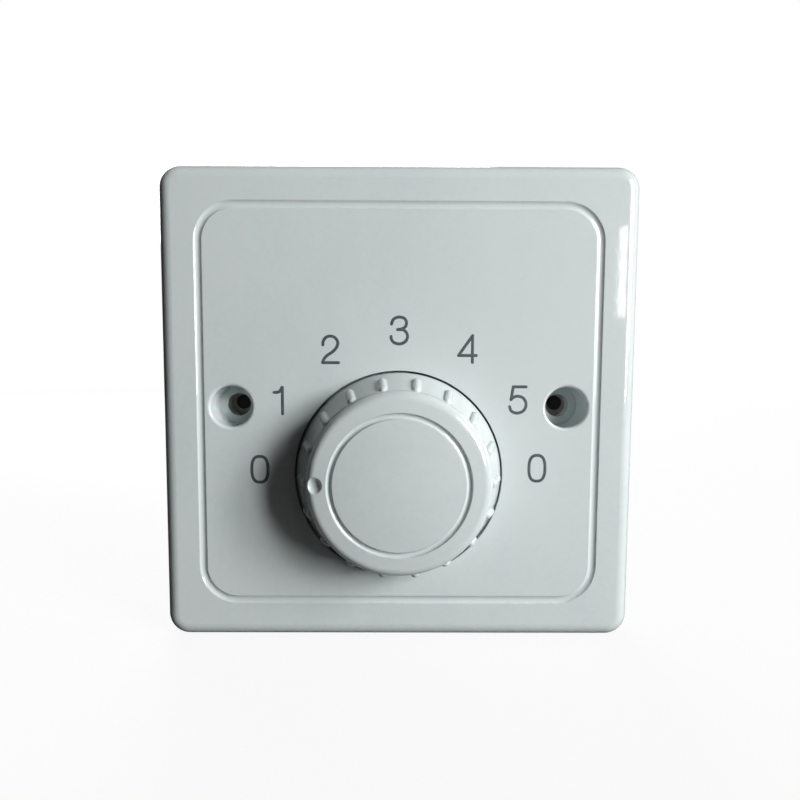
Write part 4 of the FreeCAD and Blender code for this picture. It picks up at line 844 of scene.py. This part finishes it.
def add_floor(stage):
    """A round floor under the plate's lower edge, with rings that widen outward."""
    mesh = bmesh.new()
    height = PLATE_LOW.z - FLOOR_DROP
    angles = [2 * math.pi * step / FLOOR_SIDES for step in range(FLOOR_SIDES)]
    rings = []
    for ring in range(1, stage.facets + 1):
        radius = FLOOR_RADIUS * (ring / stage.facets) ** 2
        rings.append(
            [mesh.verts.new((radius * math.cos(a), radius * math.sin(a), height)) for a in angles]
        )
    mesh.faces.new(rings[0])
    for inner, outer in zip(rings, rings[1:]):
        for step in range(FLOOR_SIDES):
            following = (step + 1) % FLOOR_SIDES
            mesh.faces.new((inner[step], outer[step], outer[following], inner[following]))
    finish = Finish("floor_paper")
    tooth = finish.noise(0.0012, 4, 0.6)
    finish.colour(tooth, (0.3, shade(stage.floor, 0.985)), (0.7, stage.floor))
    finish.rough(finish.span(tooth, 0.85, 0.95))
    finish.relief(tooth, 0.00002, 0.00005)
    path = finish.add("ShaderNodeLightPath")
    shown = finish.add("ShaderNodeMath", operation="MAXIMUM")
    finish.link(path.outputs["Is Camera Ray"], shown.inputs[0])
    finish.link(path.outputs["Is Transmission Ray"], shown.inputs[1])
    away = finish.add("ShaderNodeVectorMath", operation="LENGTH")
    finish.link(finish.place, away.inputs[0])
    level = finish.add("ShaderNodeMath", operation="MULTIPLY")
    finish.link(shown.outputs[0], level.inputs[0])
    spread = finish.span(
        away.outputs["Value"], stage.glow, 1.0, FLOOR_GLOW_NEAR, FLOOR_GLOW_FAR
    )
    finish.link(spread, level.inputs[1])
    glow = finish.add("ShaderNodeEmission", {"Color": (*WHITE, 1)})
    finish.link(level.outputs[0], glow.inputs["Strength"])
    total = finish.add("ShaderNodeAddShader")
    finish.link(finish.shader.outputs[0], total.inputs[0])
    finish.link(glow.outputs[0], total.inputs[1])
    finish.link(total.outputs[0], finish.tree.nodes["Material Output"].inputs["Surface"])
    floor = add_piece("studio_floor", mesh, finish.material, smooth=False)


def ground_finish(name, dark, light):
    """Rough plaster or metal in the shade behind the plate; also used near-black as painted shade.
    """
    finish = Finish(name)
    tooth = finish.noise(0.0007, 4, 0.6)
    finish.colour(tooth, (0.3, dark), (0.7, light))
    finish.rough(finish.span(tooth, 0.8, 0.95))
    finish.relief(tooth, 0.00003)
    return finish.material


def add_disc(name, middle, radius, material):
    """A disc that faces the room, with a slightly uneven rim."""
    mesh = bmesh.new()
    rim = []
    for step in range(DISC_SIDES):
        angle = 2 * math.pi * step / DISC_SIDES
        reach = radius * (1 + DISC_WAVE * math.sin(DISC_WAVES * angle))
        offset = Vector((reach * math.cos(angle), 0, reach * math.sin(angle)))
        rim.append(mesh.verts.new(middle + offset))
    mesh.faces.new(rim)
    add_piece(name, mesh, material, smooth=False)


def add_wall_patches():
    """The wall box's lug that shows through each screw hole, with near-black discs as painted
    shade: one on the lug for its bore, one behind it for the hole seen from behind.
    """
    ground = ground_finish("box_lug", (0.27, 0.24, 0.21), (0.42, 0.37, 0.33))
    # Near-black finish: painted shade for the lug's bore and for the hole seen from behind
    dark = ground_finish("painted_bore_shade", (0.006, 0.005, 0.005), (0.02, 0.016, 0.014))
    for side, name in ((-1, "left"), (1, "right")):
        hole = Vector((side * HOLE_PITCH / 2, 0, 0))
        add_disc("box_lug_" + name, hole + Vector((0, LUG_DEPTH, 0)), LUG_RADIUS, ground)
        # A near-black disc just behind the lug: painted shade in the hole seen from behind
        add_disc("painted_back_shade_" + name, hole + Vector((0, BACK_SHADE_DEPTH, 0)), LUG_RADIUS, dark)
        # A near-black disc on the lug: painted shade where its bore is
        add_disc("painted_bore_shade_" + name, hole + Vector(BORE_SHADE_OFFSET), BORE_SHADE_RADIUS, dark)


def add_lamp(name, place, aim, size, power, colour):
    """A rectangular soft lamp that faces a point."""
    data = bpy.data.lights.new(name, "AREA")
    data.shape = "RECTANGLE"
    data.size, data.size_y = size
    data.energy = power
    data.color = colour
    lamp = bpy.data.objects.new(name, data)
    lamp.location = place
    lamp.rotation_mode = "QUATERNION"
    lamp.rotation_quaternion = (Vector(aim) - Vector(place)).to_track_quat("-Z", "Y")
    bpy.context.scene.collection.objects.link(lamp)


def add_window(stage):
    """A window of two panes on the right, and the strip of it that the plate's border mirrors."""
    place = Vector(WINDOW_PLACE)
    aim = Vector((0, PLATE_FACE, KNOB_AXIS.z / 2))
    sideways = (place - aim).cross(Vector((0, 0, 1))).normalized()
    across = sideways * PANE_ASIDE - Vector((0, 0, PANE_DROP))
    for name, offset in (("pane_near", across), ("pane_far", -across)):
        add_lamp(name, place + offset, aim + offset, PANE_SIZE, stage.key / 2, PANE_WHITE)
    border = Vector((STRIP_AIM[0], PLATE_FACE, STRIP_AIM[1]))
    add_lamp("window_strip", STRIP_PLACE, border, STRIP_SIZE, stage.strip, WHITE)


def set_world(stage):
    """White to the camera, dim to reflections, and a low warm fill for the rest."""
    world = bpy.data.worlds.new("studio")
    world.use_nodes = True
    tree = world.node_tree

    def combine(operation, first, second):
        """A math node, with its output."""
        node = tree.nodes.new("ShaderNodeMath")
        node.operation = operation
        tree.links.new(first, node.inputs[0])
        tree.links.new(second, node.inputs[1])
        return node.outputs[0]

    path = tree.nodes.new("ShaderNodeLightPath").outputs
    place = tree.nodes.new("ShaderNodeTexCoord")
    side = tree.nodes.new("ShaderNodeVectorMath")
    side.operation = "DOT_PRODUCT"
    side.inputs[1].default_value = BRIGHT_SIDE
    tree.links.new(place.outputs["Generated"], side.inputs[0])
    soft = tree.nodes.new("ShaderNodeMapRange")
    ends = {"From Min": 0.0, "From Max": 0.9, "To Min": 0.05, "To Max": 0.2}
    for key, value in ends.items():
        soft.inputs[key].default_value = value
    tree.links.new(side.outputs["Value"], soft.inputs["Value"])
    shiny = combine("MAXIMUM", path["Is Glossy Ray"], path["Is Transmission Ray"])
    mirrored = combine("MULTIPLY", shiny, soft.outputs[0])
    seen = combine("MAXIMUM", path["Is Camera Ray"], mirrored)
    level = tree.nodes.new("ShaderNodeMath")
    level.operation = "MAXIMUM"
    level.inputs[1].default_value = stage.fill
    tree.links.new(seen, level.inputs[0])
    tint = tree.nodes.new("ShaderNodeMix")
    tint.data_type = "RGBA"
    tint.inputs[6].default_value = (*WHITE, 1)
    tint.inputs[7].default_value = BOUNCED_WARM
    tree.links.new(path["Is Diffuse Ray"], tint.inputs[0])
    glow = tree.nodes["Background"]
    tree.links.new(level.outputs[0], glow.inputs["Strength"])
    tree.links.new(tint.outputs[2], glow.inputs["Color"])
    bpy.context.scene.world = world


def add_camera(stage):
    """The camera in front of the plate, where the picture was taken from."""
    pitch, yaw, roll = stage.pitch, stage.yaw, stage.roll
    flat = math.cos(pitch)
    ahead = Vector((math.sin(yaw) * flat, math.cos(yaw) * flat, -math.sin(pitch)))
    level = Vector((math.cos(yaw), -math.sin(yaw), 0))
    upright = level.cross(ahead)
    right = level * math.cos(roll) + upright * math.sin(roll)
    top = upright * math.cos(roll) - level * math.sin(roll)
    data = bpy.data.cameras.new("camera")
    data.lens = stage.lens
    data.sensor_width = SENSOR_WIDTH
    data.shift_x = stage.shift
    data.clip_start = NEAREST
    data.clip_end = FARTHEST
    camera = bpy.data.objects.new("camera", data)
    place = Vector((stage.across, 0, stage.up)) - ahead * stage.distance
    turn = Matrix((right, top, -ahead)).transposed().to_4x4()
    camera.matrix_world = Matrix.Translation(place) @ turn
    bpy.context.scene.collection.objects.link(camera)
    bpy.context.scene.camera = camera


class FANSWITCH_OT_stage(bpy.types.Operator):
    """Set up the floor, the lamps, the white surround and the camera"""

    bl_idname = "fan_switch.stage"
    bl_label = "Stage"

    def execute(self, context):
        stage = context.scene.fan_switch_stage
        context.scene.view_settings.view_transform = "Standard"
        add_floor(stage)
        add_wall_patches()
        set_world(stage)
        add_window(stage)
        add_lamp("back_lamp", BACK_PLACE, BACK_AIM, BACK_SIZE, stage.back, WHITE)
        add_camera(stage)
        return {"FINISHED"}


class FANSWITCH_PT_pieces(bpy.types.Panel):
    """Lists what can be finished, with its settings"""

    bl_label = "Fan speed switch"
    bl_idname = "FANSWITCH_PT_pieces"
    bl_space_type = "VIEW_3D"
    bl_region_type = "UI"
    bl_category = "Fan switch"

    def draw(self, context):
        for operator in OPERATORS:
            self.layout.operator(operator.bl_idname)
        for title, name, group in SETTINGS:
            box = self.layout.box()
            box.label(text=title)
            for key in group.__annotations__:
                box.prop(getattr(context.scene, name), key)


SETTINGS = (
    ("Mouldings", "fan_switch_moulding", MouldingSettings),
    ("Dial", "fan_switch_dial", DialSettings),
    ("Metals", "fan_switch_metal", MetalSettings),
    ("Winding and leads", "fan_switch_winding", WindingSettings),
    ("Stage", "fan_switch_stage", StageSettings),
)
OPERATORS = (
    FANSWITCH_OT_plate,
    FANSWITCH_OT_knob,
    FANSWITCH_OT_dial,
    FANSWITCH_OT_step_switch,
    FANSWITCH_OT_choke,
    FANSWITCH_OT_terminals,
    FANSWITCH_OT_leads,
    FANSWITCH_OT_housing,
    FANSWITCH_OT_stage,
)


def register():
    """Add the settings, the operators and the panel."""
    for _, name, group in SETTINGS:
        bpy.utils.register_class(group)
        setattr(bpy.types.Scene, name, PointerProperty(type=group))
    for operator in OPERATORS:
        bpy.utils.register_class(operator)
    bpy.utils.register_class(FANSWITCH_PT_pieces)


def unregister():
    """Take them away again."""
    bpy.utils.unregister_class(FANSWITCH_PT_pieces)
    for operator in reversed(OPERATORS):
        bpy.utils.unregister_class(operator)
    for _, name, group in reversed(SETTINGS):
        delattr(bpy.types.Scene, name)
        bpy.utils.unregister_class(group)


def main():
    """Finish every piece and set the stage."""
    register()
    bpy.ops.fan_switch.plate()
    bpy.ops.fan_switch.knob()
    bpy.ops.fan_switch.dial()
    bpy.ops.fan_switch.step_switch()
    bpy.ops.fan_switch.choke()
    bpy.ops.fan_switch.terminals()
    bpy.ops.fan_switch.leads()
    bpy.ops.fan_switch.housing()
    bpy.ops.fan_switch.stage()


if __name__ == "__main__":
    main()
